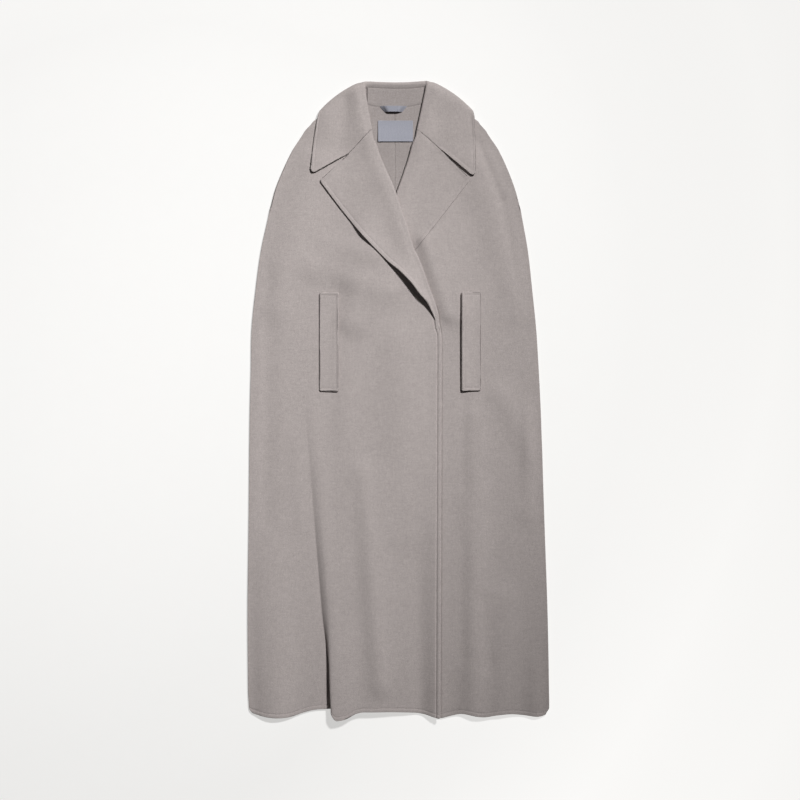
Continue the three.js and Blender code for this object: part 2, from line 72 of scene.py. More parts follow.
# Main lines across the length
SHOULDER_Y = 602.0
GORGE_Y = 536.0
BREAK_Y = 162.0
HEM_Y = -622.0
BACK_HEM_Y = -613.0
SHOULDER_DROP = 48.0
SHOULDER_END_Y = SHOULDER_Y - SHOULDER_DROP
SHOULDER_BOW = 4.0
CENTRE_BACK_X = -8.0
UNDER_EDGE_X = -89.0


# Helpers for numbers, tables and outlines
def mix(a, b, t):
    return a + (b - a) * t


def smooth(t):
    t = np.clip(t, 0.0, 1.0)
    return t * t * (3 - 2 * t)


def bell(distance, width):
    return np.exp(-((distance / width) ** 2))


def bowed(height, t):
    """A bow of some height over a line, from 0 to 1 along it."""
    return height * 4 * t * (1 - t)


def table(columns, rows):
    return {name: np.array([row[i] for row in rows], float) for i, name in enumerate(columns)}


def between(rows, column, place):
    """A value between rows of a table, along a smooth curve through them."""
    values = rows[column]
    last = len(values) - 1
    start = np.clip(np.floor(place).astype(int), 0, last - 1)
    t = np.clip(place - start, 0.0, 1.0)
    a, b, c, d = (values[np.clip(start + i, 0, last)] for i in (-1, 0, 1, 2))
    return b + 0.5 * t * (c - a + t * (2 * a - 5 * b + 4 * c - d + t * (3 * (b - c) + d - a)))


def place_of(rows, key, value):
    """Place in a table whose key column falls from row to row."""
    return np.interp(-np.asarray(value, float), -rows[key], np.arange(len(rows[key])))


def look_up(rows, key, column, value):
    return between(rows, column, place_of(rows, key, value))


def to_segment(x, y, a, b):
    dx, dy = b[0] - a[0], b[1] - a[1]
    t = np.clip(((x - a[0]) * dx + (y - a[1]) * dy) / max(dx * dx + dy * dy, 1e-9), 0.0, 1.0)
    return t, np.hypot(x - a[0] - dx * t, y - a[1] - dy * t)


def to_line(x, y, line):
    """Distance to an open line of points."""
    return np.minimum.reduce([to_segment(x, y, a, b)[1] for a, b in zip(line, line[1:])])


def distance_outside(outline, x, y):
    inside = np.zeros(np.shape(x), bool)
    nearest = np.full(np.shape(x), np.inf)
    for a, b in zip(outline[-1:] + outline[:-1], outline):
        nearest = np.minimum(nearest, to_segment(x, y, a, b)[1])
        if a[1] != b[1]:
            crosses = ((a[1] > y) != (b[1] > y)) & (x < a[0] + (b[0] - a[0]) * (y - a[1]) / (b[1] - a[1]))
            inside ^= crosses
    return np.where(inside, 0.0, nearest)


def over(outline, x, y, reach, margin=8.0):
    """1 over a hidden layer and a margin round it, falling to 0 at the end of the reach."""
    return 1 - smooth((distance_outside(outline, x, y) - margin) / reach)


def spread(start, end, count):
    return np.linspace(start, end, count + 1)


# Outline, hem and inner edges of the coat
SIDES = table(["y", "left", "right"], [
    [554, -171, 159], [538, -186, 173], [498, -211.5, 199], [458, -231, 218], [418, -247, 233],
    [378, -258, 244], [298, -275, 258], [218, -286, 267], [138, -294, 275], [58, -295.5, 280],
    [-22, -297.5, 284], [-102, -298.5, 287], [-262, -300, 292], [-422, -302, 297.5], [-582, -301, 300.5],
    [-622, -299, 301],
])
HEM = table(["x", "drop"], [
    [301, 2], [293, 9], [279, 12.5], [251, 9.5], [223, 7], [195, 9.5], [173, 13], [155, 11.5], [131, 7],
    [119, 7.5], [95, 13], [83, 15.5], [67, 12], [55, 8], [35, 4.5], [-13, 2.5], [-57, 2.5], [-73, 2.5],
    [-87, 6], [-97, 12], [-107, 17], [-121, 20], [-135, 18],
])
HEM_LEFT_OF_FOLD = table(["x", "drop"], [
    [-145, -3], [-169, -1], [-193, 5], [-217, 13], [-241, 15], [-265, 13], [-289, 7], [-301, 2],
])
NECK_EDGE = table(["y", "left", "right"], [[602, -82, 73], [575, -71, 61], [552, -61, 49.5], [542, -57, 45]])
ROLL_LINE = table(["y", "over", "under"], [
    [536, -53.3, 36.7], [508, -45, 27.5], [412, -6.8, -3.3], [298, 29.4, -40], [258, 48, -53],
    [218, 62, -65.8], [183, 75.2, -76.7], [162, 79.8, -83.3],
])
NECK_SEAM = table(["x", "y"], [
    [90, 608], [71, 602], [60, 596], [50, 591], [34, 586.5], [14, 583.2], [-8, 582], [-30, 583], [-50, 585],
    [-62, 588.5], [-70, 593.5], [-80.5, 602], [-100, 608],
])

# Lapels: outer edge from the tip to the break, and the corner of the notch on the way to the tip
OVER_LAPEL = table(["x", "y", "lift"], [
    [-158, 436, 1.2], [-119, 384, 0.7], [-94, 352.5, 0.7], [-72, 326, 6.0], [-47.5, 300, 0.3],
    [-22, 274.5, 2], [3, 253.5, 10], [25.5, 230.5, 13.5], [42.7, 208, 12], [58, 190.5, 7.5], [73, 158, 0],
])
UNDER_LAPEL = table(["x", "y", "lift"], [
    [143.7, 438.5, 1], [87.7, 366, 2.6], [32.7, 297, 2.2], [-25, 227, 0], [-83.3, 162, 0],
])
OVER_NOTCH = (-99.7, 489.5)
UNDER_NOTCH = (85.9, 496.0)

# Outlines of hidden layers, which lift what lies over them
COLLAR_UNDERSIDE = [
    (-168, 585), (-160, 562), (-118, 541), (-60, 528), (-8, 525), (52, 528), (103, 541), (148, 562),
    (156, 585), (60, 660), (-66, 660),
]
UNDER_BODY = [
    (-3.3, 430), (-3.3, 412), (-83.3, 162), (UNDER_EDGE_X, 150), (UNDER_EDGE_X, -660), (110, -660),
    (110, 430),
]
HIDDEN_LAPEL = [(-3.3, 416), (-83.3, 162), (-25, 221), (32.7, 291), (142.7, 430), (60, 440)]

# Soft ridges of the cloth, then the smaller creases on them: from a start to an end, with a height at each
def ridge_table(rows):
    return table(["x0", "y0", "x1", "y1", "half_width", "start_height", "end_height"], rows)


OVER_RIDGES = ridge_table([
    [-165, 470, -252, 190, 34, 5, 4],
    [-133, 300, -50, 292, 30, 3, 5],
    [-40, -170, -38, -640, 36, 2, 10],
    [82, -120, 82, -640, 24, 1, 9],
    [-246, -260, -246, -640, 34, 1, 9],
])
UNDER_RIDGES = ridge_table([
    [150, 480, 238, 180, 32, 5, 3],
    [152, -40, 152, -640, 26, 3, 10],
    [262, -30, 258, -230, 20, 4, 3],
    [214, -400, 205, -640, 26, 3, 8],
    [276, -520, 276, -640, 18, 1, 6],
])
OVER_CREASES = ridge_table([
    [-173, 262, -27, 218, 26, 4.0, 3.0],
    [-236, 140, -250, 92, 16, -0.6, -0.4],
    [-262, 250, -266, -240, 18, -2.6, -2.0],
    [-205, -80, -196, -260, 12, 0.5, 0.9],
    [-74, -140, -38, -570, 19, 3.0, 4.5],
    [-38, -430, -38, -640, 34, -1.5, -6.0],
    [5, 110, 12, -260, 44, 5.0, 4.0],
    [40, -250, 44, -640, 20, -1.0, -5.0],
    [-272, -420, -276, -560, 10, 0.4, 0.7],
])
UNDER_CREASES = ridge_table([
    [160, 512, 206, 396, 9, -1.9, -1.9],
    [206, 396, 256, 136, 10, -1.9, -0.9],
    [48, 316, 97, 168, 14, 5.5, 4.0],
    [66, 318, 115, 168, 26, 5.0, 3.5],
    [100, 330, 142, 190, 42, 3.0, 2.0],
    [128, 0, 132, -180, 9, -1.5, -1.2],
    [130, -290, 128, -520, 10, -1.2, -1.6],
    [203, 10, 279, -130, 24, 3.6, 2.4],
    [243, -20, 245, -200, 9, -0.9, -0.6],
    [168, -400, 178, -530, 16, -2.2, -2.6],
    [112, 250, 128, 180, 14, 0.5, 0.3],
    [236, -470, 232, -640, 10, 0.4, 0.9],
])

# The deep fold low on the wearer's right front: its height and overhang at the hem, and their shares above it
FOLD = Values(
    top_x=-182.0, top_y=8.0, hem_x=-131.0, lean_y=-400.0,
    height=19.0, upper_height=0.75, overhang=27.0, upper_lean=0.1,
    lead=60.0,              # how far above its top it begins to rise
    top_width=20.0, middle_width=34.0, hem_width=24.0,      # of its slope
    widening=0.4,           # share of its rise at which it has its middle width
    roundness=2.4,
    foot=7.0,               # from its line to the foot of its slope, and to where it begins to fade
    lean_reach=16.0, fade=62.0,
    step_start=-3.0, step_width=18.0,                       # the hem's own step at its line
    half_span=14.0,         # stretch on each side of its line with close columns
    rest_share=0.289,       # where those columns lie higher up, as a share of the front's width
    gather=200.0,           # height above its top within which they go there
)

# Waver of the cloth, as wide slow waves that cross each other
WAVES = table(["across", "along", "phase", "height"], [
    [143, 610, 0.4, 0.16], [-96, 380, 2.1, 0.12], [67, -240, 4.4, 0.09], [-51, 170, 1.2, 0.07],
])


# Heights of the middle of each layer, and the distances within which one eases into the next
COLLAR_MARGIN = 4.0
COLLAR_EASE = 60.0
EDGE_EASE = 30.0
HIDDEN_EASE = 45.0      # at the edge of a hidden layer
UPPER_EASE = 100.0      # the same from this height on, reached within this span
UPPER_Y = 200.0
UPPER_SPAN = 80.0
ROLL_EASE = 34.0


def ridge_height(ridges, x, y):
    total = np.zeros(np.shape(x))
    for x0, y0, x1, y1, half_width, low, high in zip(*ridges.values()):
        t, distance = to_segment(x, y, (x0, y0), (x1, y1))
        total += mix(low, high, t) * bell(distance, half_width)
    return total


def waver(x, y):
    total = np.zeros(np.shape(x))
    for across, along, phase, height in zip(*WAVES.values()):
        total += height * np.sin(2 * math.pi * (x / across + y / along) + phase)
    return total


def back_height(x, y):
    return FLAT + LAYER * over(COLLAR_UNDERSIDE, x, y, COLLAR_EASE, COLLAR_MARGIN)


def away_from_edge(x, y):
    left = look_up(SIDES, "y", "left", y)
    right = look_up(SIDES, "y", "right", y)
    return smooth(np.minimum(x - left, right - x) / EDGE_EASE)


def under_height(x, y):
    inner = away_from_edge(x, y)
    swell = ridge_height(UNDER_RIDGES, x, y) + ridge_height(UNDER_CREASES, x, y) + waver(x, y)
    return back_height(x, y) + mix(EDGE_LAYER, LAYER, inner) + swell * inner


def over_height(x, y):
    inner = away_from_edge(x, y)
    ease = mix(HIDDEN_EASE, UPPER_EASE, smooth((y - UPPER_Y) / UPPER_SPAN))
    hidden = over(UNDER_BODY, x, y, ease)
    hidden_lapel = over(HIDDEN_LAPEL, x, y, ease)
    swell = ridge_height(OVER_RIDGES, x, y) + ridge_height(OVER_CREASES, x, y) + waver(x, y)
    stack = LAYER * hidden + LAPEL_STACK * hidden_lapel + ridge_height(UNDER_RIDGES, x, y) * hidden
    return back_height(x, y) + mix(EDGE_LAYER, LAYER, inner) + stack + swell * inner


def roll_loft(distance):
    return (2 * ROLL_RADIUS - LAYER) * bell(distance, ROLL_EASE)


# Edge seam of the double-faced cloth: a groove inside the edge, with the turned edge a little proud of it
EDGE_SEAM = 7.5
SEAM_DEPTH = 0.38
SEAM_WIDTH = 1.7
EDGE_SWELL = 0.25
SWELL_EASE = 2.0


def edge_relief(distance):
    groove = SEAM_DEPTH * bell(distance - EDGE_SEAM, SEAM_WIDTH)
    turned = EDGE_SWELL * smooth((EDGE_SEAM - distance) / SWELL_EASE)
    return turned - groove


# Distances from an edge at which its seam needs columns of points
EDGE_STEPS = np.array([24, 20, 16, 13, 11, 10, 9.2, 8.4, 7.6, 6.8, 6, 5, 3.6, 2.2, 1.2, 0])


def squeezed(steps, room, needed=60.0):
    """Steps from an edge, drawn together where there is little room."""
    return steps * min(1.0, room / needed)


def spaced(start, end, spacing):
    return np.linspace(start, end, max(2, int(round(abs(end - start) / spacing)) + 1))


# A closed wall of cloth from rows of points. A point that isn't a number leaves its place open. Relief is
# added to the face that looks up, and the rim is rounded by its own radius: small at a seam, and half the
# cloth at an edge.
RIM_ANGLES = np.radians([30, 60, 90])
RIM_LIMIT = 0.95        # largest rim radius, as a share of half the thickness
SEAM_RIM = 0.35
MERGE_STEPS = 400       # to a millimetre: points in the same step are one
FAR_AWAY = 1e6


def merged(rows):
    flat = rows.reshape(-1, 3)
    keys = np.round(np.nan_to_num(flat, nan=FAR_AWAY) * MERGE_STEPS).astype(np.int64)
    _, first, index = np.unique(keys, axis=0, return_index=True, return_inverse=True)
    return first, index.reshape(rows.shape[:2])


def sheet_faces(rows, index):
    open_place = np.isnan(rows[..., 0])
    quads = np.stack([index[:-1, :-1], index[1:, :-1], index[1:, 1:], index[:-1, 1:]], axis=-1)
    gone = open_place[:-1, :-1] | open_place[1:, :-1] | open_place[1:, 1:] | open_place[:-1, 1:]
    faces = []
    for quad in quads[~gone].tolist():
        face = [corner for i, corner in enumerate(quad) if corner != quad[i - 1]]
        if len(set(face)) == len(face) >= 3:
            faces.append(face)
    return faces


def vertex_normals(points, faces):
    sums = np.zeros_like(points)
    for size in (3, 4):
        group = np.array([face for face in faces if len(face) == size])
        if len(group) == 0:
            continue
        first, second, third, last = (points[group[:, place]] for place in (0, 1, 2, -1))
        normal = np.cross(third - first, last - second)
        for corner in range(size):
            np.add.at(sums, group[:, corner], normal)
    return sums / np.maximum(np.linalg.norm(sums, axis=1, keepdims=True), 1e-12)


def open_edges(faces):
    edges = {(a, b) for face in faces for a, b in zip(face, face[1:] + face[:1])}
    return sorted(edge for edge in edges if edge[::-1] not in edges)


def outward_directions(points, normals, edges):
    start, end = np.array(edges).T
    away = np.cross(points[end] - points[start], normals[start] + normals[end])
    away /= np.maximum(np.linalg.norm(away, axis=1, keepdims=True), 1e-9)
    directions = np.zeros_like(points)
    np.add.at(directions, start, away)
    np.add.at(directions, end, away)
    return directions / np.maximum(np.linalg.norm(directions, axis=1, keepdims=True), 1e-9)


def rim_rings(border, normals, away, inset, above, below):
    """Rings of points round the rim, from the upper face to the lower one."""
    rings = []
    for side, reach, turns in ((1, above, RIM_ANGLES), (-1, below, RIM_ANGLES[::-1])):
        for angle in turns:
            level = reach - inset + inset * math.cos(angle)
            rings.append(border + side * normals * level + away * inset * math.sin(angle))
    return rings


def rim_faces(edges, border, count, ring_count):
    """Faces that close the wall along its open edges, between two faces of count points each."""
    slot_of = {corner: i for i, corner in enumerate(border)}
    starts = [2 * count + ring * len(border) for ring in range(ring_count)]
    faces = []
    for edge in edges:
        a, b = ([end] + [start + slot_of[end] for start in starts] + [end + count] for end in edge)
        faces += [[b[k], a[k], a[k + 1], b[k + 1]] for k in range(len(a) - 1)]
    return faces


def cloth_wall(name, rows, thickness=CLOTH, relief=None, rim=None):
    rows = np.asarray(rows, float)
    first, index = merged(rows)
    points = rows.reshape(-1, 3)[first]
    faces = sheet_faces(rows, index)
    normals = vertex_normals(points, faces)
    edges = open_edges(faces)
    away = outward_directions(points, normals, edges)
    half = thickness / 2
    raised = np.zeros(len(points)) if relief is None else np.nan_to_num(relief.reshape(-1)[first])
    radius = np.full(len(points), half) if rim is None else np.nan_to_num(rim.reshape(-1)[first], nan=half)
    above = (half + raised * (normals[:, 2] > 0))[:, None]
    below = (half + raised * (normals[:, 2] < 0))[:, None]
    border = sorted({corner for edge in edges for corner in edge})
    inset = np.minimum(radius, half * RIM_LIMIT)[border][:, None]
    body = points.copy()
    body[border] -= away[border] * inset
    rings = rim_rings(body[border], normals[border], away[border], inset, above[border], below[border])
    count = len(points)
    solid = faces + [[corner + count for corner in face[::-1]] for face in faces]
    solid += rim_faces(edges, border, count, len(rings))
    return mesh_piece(name, np.concatenate([body + normals * above, body - normals * below, *rings]), solid)


def add_object(name, data):
    made = bpy.data.objects.new(name, data)
    bpy.context.scene.collection.objects.link(made)
    return made


def mesh_piece(name, points, faces):
    """A mesh object from points in the drawing's millimetres, without its unused points."""
    used = sorted({corner for face in faces for corner in face})
    place = {corner: i for i, corner in enumerate(used)}
    placed = (points[used] + SHIFT) * MM
    mesh = bpy.data.meshes.new(name)
    mesh.from_pydata([tuple(p) for p in placed], [], [[place[corner] for corner in face] for face in faces])
    mesh.polygons.foreach_set("use_smooth", [True] * len(mesh.polygons))
    mesh.update()
    return add_object(name, mesh)


# The two fronts differ in side, edge, lapel and height. The over front's turned lapel thins out into its edge
# strip below the break, and the under one's ends at the break.
OVER_FRONT = Values(
    side="left", roll="over", inward=1, edge_x=85.5, hem_edge_x=82.7, lapel=OVER_LAPEL, notch=OVER_NOTCH,
    tip_radius=5.0, leaf_end_y=138.0, height=over_height,
)
UNDER_FRONT = Values(
    side="right", roll="under", inward=-1, edge_x=UNDER_EDGE_X, hem_edge_x=UNDER_EDGE_X, lapel=UNDER_LAPEL,
    notch=UNDER_NOTCH, tip_radius=7.0, leaf_end_y=BREAK_Y, height=under_height,
)

# Rows of the fronts, by the height of their inner end: close together at the gorge, the break and the hem
FRONT_ROWS = np.concatenate([
    spaced(SHOULDER_Y, 552, spacing=6),
    [547, 542, 539],
    GORGE_Y - np.array([0, 0.8, 2, 3.5, 5, 6.2, 7.4, 8.6, 10, 12, 15, 19]),
    spaced(GORGE_Y - 24, 206, spacing=7),
    [200, 194, 188, 182, 177, 172, 167, BREAK_Y, 158, 154, 150, 146, 142, 138, 132],
    spaced(126, HEM_Y + EDGE_STEPS[0] + 8, spacing=8),
    HEM_Y + EDGE_STEPS,
]).tolist()

# Lengths within which one form passes into another
SHOULDER_REACH = 300.0  # from the slope of the shoulder to level rows
BOW_REACH = 60.0        # from the bow of the shoulder to level rows
HEM_REACH = 130.0       # from level rows to the drop of the hem
EDGE_BEND = 44.0        # from the roll line to the front edge, below the break
FACE_REACH = 46.0       # from the outer face to the middle of the cloth, on the line above the break
ROLL_REACH = 60.0       # from the small roll where the leaf ends to the full one
ROLL_END_RADIUS = 0.4


def side_y(inner_y):
    return inner_y - SHOULDER_DROP * (1 - smooth((SHOULDER_Y - inner_y) / SHOULDER_REACH))


def near_hem(y):
    return smooth((y - HEM_Y - HEM_REACH) / -HEM_REACH)


def line_x(front, y):
    """The roll line, and below the break the free front edge."""
    if y >= BREAK_Y:
        return float(look_up(ROLL_LINE, "y", front.roll, y))
    edge = mix(front.edge_x, front.hem_edge_x, (BREAK_Y - y) / (BREAK_Y - HEM_Y))
    return mix(ROLL_LINE[front.roll][-1], edge, smooth((BREAK_Y - y) / EDGE_BEND))


def roll_normal(front, y):
    step = 4
    slope = line_x(front, y + step) - line_x(front, y - step)
    normal = np.array([front.inward, -front.inward * slope / (2 * step), 0.0])
    return normal / np.linalg.norm(normal)


def roll_radius(front, y):
    return mix(ROLL_END_RADIUS, ROLL_RADIUS, smooth((y - front.leaf_end_y) / ROLL_REACH))


def roll_base(front, y):
    outer_face = CLOTH / 2 * (1 - smooth((y - BREAK_Y) / FACE_REACH))
    line = np.array([line_x(front, y), y, 0.0])
    return line - roll_normal(front, y) * (roll_radius(front, y) + outer_face)


def inner_x(front, y):
    if y > GORGE_Y:
        heights = np.append(NECK_EDGE["y"], GORGE_Y)
        edge = np.append(NECK_EDGE[front.side], roll_base(front, GORGE_Y)[0])
        return float(np.interp(-y, -heights, edge))
    return roll_base(front, y)[0] if y >= front.leaf_end_y else line_x(front, y)


# Columns of the fronts
SIDE_STEPS = np.array([0, 1.2, 2.6, 4.5, 7.5])
OVER_LEFT_COLUMNS = 18
OVER_RIGHT_COLUMNS = 34
FOLD_COLUMNS = 18
UNDER_LEFT_COLUMNS = 24
UNDER_RIGHT_COLUMNS = 26
UNDER_ROOM = 90.0

# The over front's edge presses a line into the under front, which needs columns at these distances from it
PRESS_STEPS = np.array([9, 6, 4.4, 3.4, 2.6, 1.9, 1.2, 0.4, -0.6, -2, -5])
PRESS_LINE_TOP_Y = 298.0
PRESS_GATHER = 90.0     # length within which the columns come together at the line
PRESS_X = 1.0
PRESS_WIDTH = 1.6
PRESS_DEPTH = 1.15
PRESS_TOP_Y = 200.0
PRESS_EASE = 30.0


def over_columns(side_x, edge_x, y):
    """Columns of the over front keep close together along the deep fold."""
    rest = mix(side_x, edge_x, FOLD.rest_share)
    along = mix(FOLD.top_x, FOLD.hem_x, np.clip((FOLD.top_y - y) / (FOLD.top_y - HEM_Y), 0, 1))
    centre = mix(rest, along, 1 - smooth((y - FOLD.top_y) / FOLD.gather))
    half = FOLD.half_span
    side = squeezed(SIDE_STEPS, centre - half - side_x)
    edge = squeezed(EDGE_STEPS, edge_x - centre - half)
    return np.concatenate([
        side_x + side,
        spread(side_x + side[-1], centre - half, OVER_LEFT_COLUMNS)[1:-1],
        centre + spread(-half, half, FOLD_COLUMNS),
        spread(centre + half, edge_x - edge[0], OVER_RIGHT_COLUMNS)[1:-1],
        edge_x - edge,
    ]), centre


def under_columns(side_x, edge_x, y):
    """Columns of the under front close together along the over front's edge, where it is pressed down."""
    side = squeezed(SIDE_STEPS, side_x - edge_x, UNDER_ROOM)
    edge = squeezed(EDGE_STEPS, side_x - edge_x, UNDER_ROOM)
    line = line_x(OVER_FRONT, min(y, PRESS_LINE_TOP_Y))
    right = spread(side_x - side[-1], line + PRESS_STEPS[0], UNDER_RIGHT_COLUMNS)[1:-1]
    left = spread(line + PRESS_STEPS[-1], min(edge_x, 0) + edge[0], UNDER_LEFT_COLUMNS)[1:-1]
    pressed = np.concatenate([right, line + PRESS_STEPS, left])
    even = spread(side_x - side[-1], edge_x + edge[0], len(pressed) + 1)[1:-1]
    middle = mix(even, pressed, smooth((PRESS_LINE_TOP_Y - y) / PRESS_GATHER))
    return np.concatenate([side_x - side, middle, edge_x + edge])


def fold_shift(offset, y):
    """The deep fold: the cloth on its right rises and leans over the cloth on its left."""
    share = smooth((FOLD.top_y + FOLD.lead - y) / (FOLD.top_y - HEM_Y))
    lower = smooth((FOLD.lean_y - y) / (FOLD.lean_y - HEM_Y))
    upper_width = mix(FOLD.top_width, FOLD.middle_width, smooth(share / FOLD.widening))
    width = mix(upper_width, FOLD.hem_width, lower)
    rise = 1 - np.clip(1 - (offset + FOLD.foot) / width, 0, 1) ** FOLD.roundness
    rise = np.where(offset < -FOLD.foot, 0, rise)
    lean = share * mix(FOLD.upper_lean, 1.0, lower)
    across = FOLD.overhang * lean * bell(offset, FOLD.lean_reach) * (0.5 - rise)
    slack = np.exp(-np.maximum(0, offset - FOLD.foot) / FOLD.fade)
    return across, FOLD.height * share * mix(FOLD.upper_height, 1, lower) * rise * slack


def hem_drop(x, offset):
    """The hem's own step at the deep fold is rounder than the fold."""
    right = look_up(HEM, "x", "drop", x)
    if offset is None:
        return right
    step = smooth((offset - FOLD.step_start) / FOLD.step_width)
    return mix(look_up(HEM_LEFT_OF_FOLD, "x", "drop", x), right, step)


def front_body(front, y):
    side_x = float(look_up(SIDES, "y", front.side, side_y(y)))
    edge_x = inner_x(front, y)
    if front is OVER_FRONT:
        x, centre = over_columns(side_x, edge_x, y)
        offset = x - centre
        across, up = fold_shift(offset, y)
    else:
        x = under_columns(side_x, edge_x, y)
        offset, across, up = None, 0, 0
    t = (x - side_x) / (edge_x - side_x)
    bow = bowed(SHOULDER_BOW, t) * (1 - smooth((SHOULDER_Y - y) / BOW_REACH))
    level = mix(side_y(y), y, t) + bow
    low = level - hem_drop(x, offset) * near_hem(y)
    return np.stack([x + across, low, front.height(x + across, level) + up], axis=-1)


# The raised strip along the front edge, where the lapel's edge runs into it, and the groove beside it
STRIP = 7.4
STRIP_MARGIN = 0.6      # its arch begins this far outside the edge, and the groove lies this far past it
STRIP_SWELL = 0.9
STRIP_ROUNDNESS = 0.7
STRIP_LEAD = 20.0       # it begins this far above the break
STRIP_REACH = 40.0
GROOVE_DEPTH = 1.1
GROOVE_WIDTH = 1.3


def body_relief(front, body, y):
    """The hem's seam, with the press on the under front and the strip on the over one."""
    hem = edge_relief(np.full(len(body), y - HEM_Y))
    if front is UNDER_FRONT:
        press = bell(body[:, 0] - line_x(OVER_FRONT, y) - PRESS_X, PRESS_WIDTH)
        return hem - PRESS_DEPTH * press * smooth((PRESS_TOP_Y - y) / PRESS_EASE)
    inside = np.abs(body[:, 0] - body[-1, 0])
    arch = np.sin(math.pi * np.clip((inside + STRIP_MARGIN) / (STRIP + STRIP_MARGIN), 0, 1))
    groove = GROOVE_DEPTH * bell(inside - STRIP - STRIP_MARGIN, GROOVE_WIDTH)
    below_break = smooth((BREAK_Y + STRIP_LEAD - y) / STRIP_REACH)
    return hem + (STRIP_SWELL * arch ** STRIP_ROUNDNESS - groove) * below_break


# The roll and the lapel: a half turn over the roll line, then out to the lapel's edge
ROLL_STEPS = 10
LAPEL_COLUMNS = 20
NOTCH_SHARE = 0.5
LEAF_LAG = 4.0          # below the break the leaf's edge lies this much lower than its roll
TIP_CROWDING = 1.15     # brings rows together at the lapel's tip
SETTLE = 13.0           # distance from the roll within which the leaf comes down to its level
PUFF_PLACE = 16.0       # distance from the roll at which it stands fullest
LAPEL_PUFF = 1.1
COLLAR_PUFF = 2.4
NOTCH_REACH = 40.0      # height below the gorge within which the rows still bend at the notch
OPENING = 40.0          # height above the break within which the leaf opens to its level
SEAM_START = 24.0       # distance from the roll within which the edge's seam fades in
SEAM_ROOM = 14.0        # width of a leaf that is too narrow to show it
SEAM_EASE = 20.0


def lapel_end(front, y):
    if y < BREAK_Y:
        return line_x(front, y - LEAF_LAG) - STRIP, y - LEAF_LAG, 0.0
    share = (max(GORGE_Y - y, 0) / (GORGE_Y - BREAK_Y)) ** TIP_CROWDING
    place = share * (len(front.lapel["x"]) - 1)
    return [float(between(front.lapel, column, place)) for column in ("x", "y", "lift")]


def leaf_shares(reach):
    """Shares of the way from the roll to the edge, closer together at both ends."""
    edge = squeezed(EDGE_STEPS, reach)
    middle = spread(0, reach - edge[0], LAPEL_COLUMNS)[1:-1]
    return np.concatenate([middle, reach - edge]) / reach


def leaf_path(start, corner, end, shares):
    first = start + (corner - start) * np.minimum(shares / NOTCH_SHARE, 1)[:, None]
    rest = corner + (end - corner) * ((shares - NOTCH_SHARE) / (1 - NOTCH_SHARE))[:, None]
    return np.where((shares < NOTCH_SHARE)[:, None], first, rest)


def puff(distance, height):
    """The leaf stands fuller a little way from its roll."""
    return height * (distance / PUFF_PLACE) * np.exp(0.5 - 0.5 * (distance / PUFF_PLACE) ** 2)


def lapel_outline(front):
    return [front.notch] + list(zip(front.lapel["x"], front.lapel["y"]))


def half_turn(front, y, start):
    angle = math.pi * spread(0, 1, ROLL_STEPS)[1:]
    sideways = np.outer(np.sin(angle), roll_normal(front, y))
    upward = np.outer(1 - np.cos(angle), [0, 0, 1])
    return start + roll_radius(front, y) * (sideways + upward)


def lapel_leaf(front, y, start):
    """Points and relief of a leaf, from its roll to its edge."""
    end_x, end_y, lift = lapel_end(front, y)
    end = np.array([end_x, end_y, start[2]])
    reach = math.hypot(end_x - start[0], end_y - start[1])
    shares = leaf_shares(reach)
    distance = reach * shares
    straight = start + (end - start) * shares[:, None]
    bent = leaf_path(start, np.array([*front.notch, start[2]]), end, shares)
    leaf = mix(straight, bent, smooth((y - GORGE_Y + NOTCH_REACH) / NOTCH_REACH))
    open_stack = LAYER + roll_loft(distance) + puff(distance, LAPEL_PUFF)
    stack = mix(2 * roll_radius(front, y), open_stack, smooth((y - BREAK_Y) / OPENING))
    level = front.height(leaf[:, 0], leaf[:, 1]) + stack + lift * shares ** 2
    leaf[:, 2] = mix(start[2], level, smooth(distance / SETTLE))
    seam = edge_relief(to_line(leaf[:, 0], leaf[:, 1], lapel_outline(front)))
    return leaf, seam * smooth((reach - SEAM_ROOM) / SEAM_EASE) * smooth(distance / SEAM_START)


def lapel_part(front, y, body_end):
    count = ROLL_STEPS + LAPEL_COLUMNS - 1 + len(EDGE_STEPS)
    if y > GORGE_Y or y < front.leaf_end_y:
        return np.full((count, 3), np.nan), np.zeros(count)
    if y == front.leaf_end_y:
        return np.repeat(body_end[None], count, axis=0), np.zeros(count)
    roll = half_turn(front, y, body_end)
    leaf, relief = lapel_leaf(front, y, roll[-1])
    return np.concatenate([roll, leaf]), np.concatenate([np.zeros(ROLL_STEPS), relief])


# Rounded corners: the radius, the slope of the edge that runs inward, and the columns that it can reach
CORNER_LIMIT = 1.3      # distance from the arc's centre within which points are moved, in radii
SIDE_CORNER = Values(radius=9.0, slope=-0.35, columns=20)
BACK_CORNER = Values(radius=9.0, columns=8)
FRONT_CORNER = Values(radius=3.0, slope=0.1, columns=12)


def round_corner(points, corner, first, second, radius):
    """Bend the two edges that meet at a corner, along the first and second directions, into an arc."""
    corner, first, second = (np.array(pair, float) for pair in (corner, first, second))
    first, second = first / np.linalg.norm(first), second / np.linalg.norm(second)
    skew = np.linalg.inv(np.array([first, second]).T)
    along = (points[..., :2] - corner) @ skew.T / radius
    u, v = 1 - along[..., 0], 1 - along[..., 1]
    near = (u > 0) & (v > 0) & (u < CORNER_LIMIT) & (v < CORNER_LIMIT)
    bent_u = u * np.sqrt(np.maximum(1 - v * v / 2, 0))
    bent_v = v * np.sqrt(np.maximum(1 - u * u / 2, 0))
    moved = np.stack([bent_u, bent_v], axis=-1)
    placed = corner + ((1 - moved) * radius) @ np.array([first, second])
    points[..., :2] = np.where(near[..., None], placed, points[..., :2])


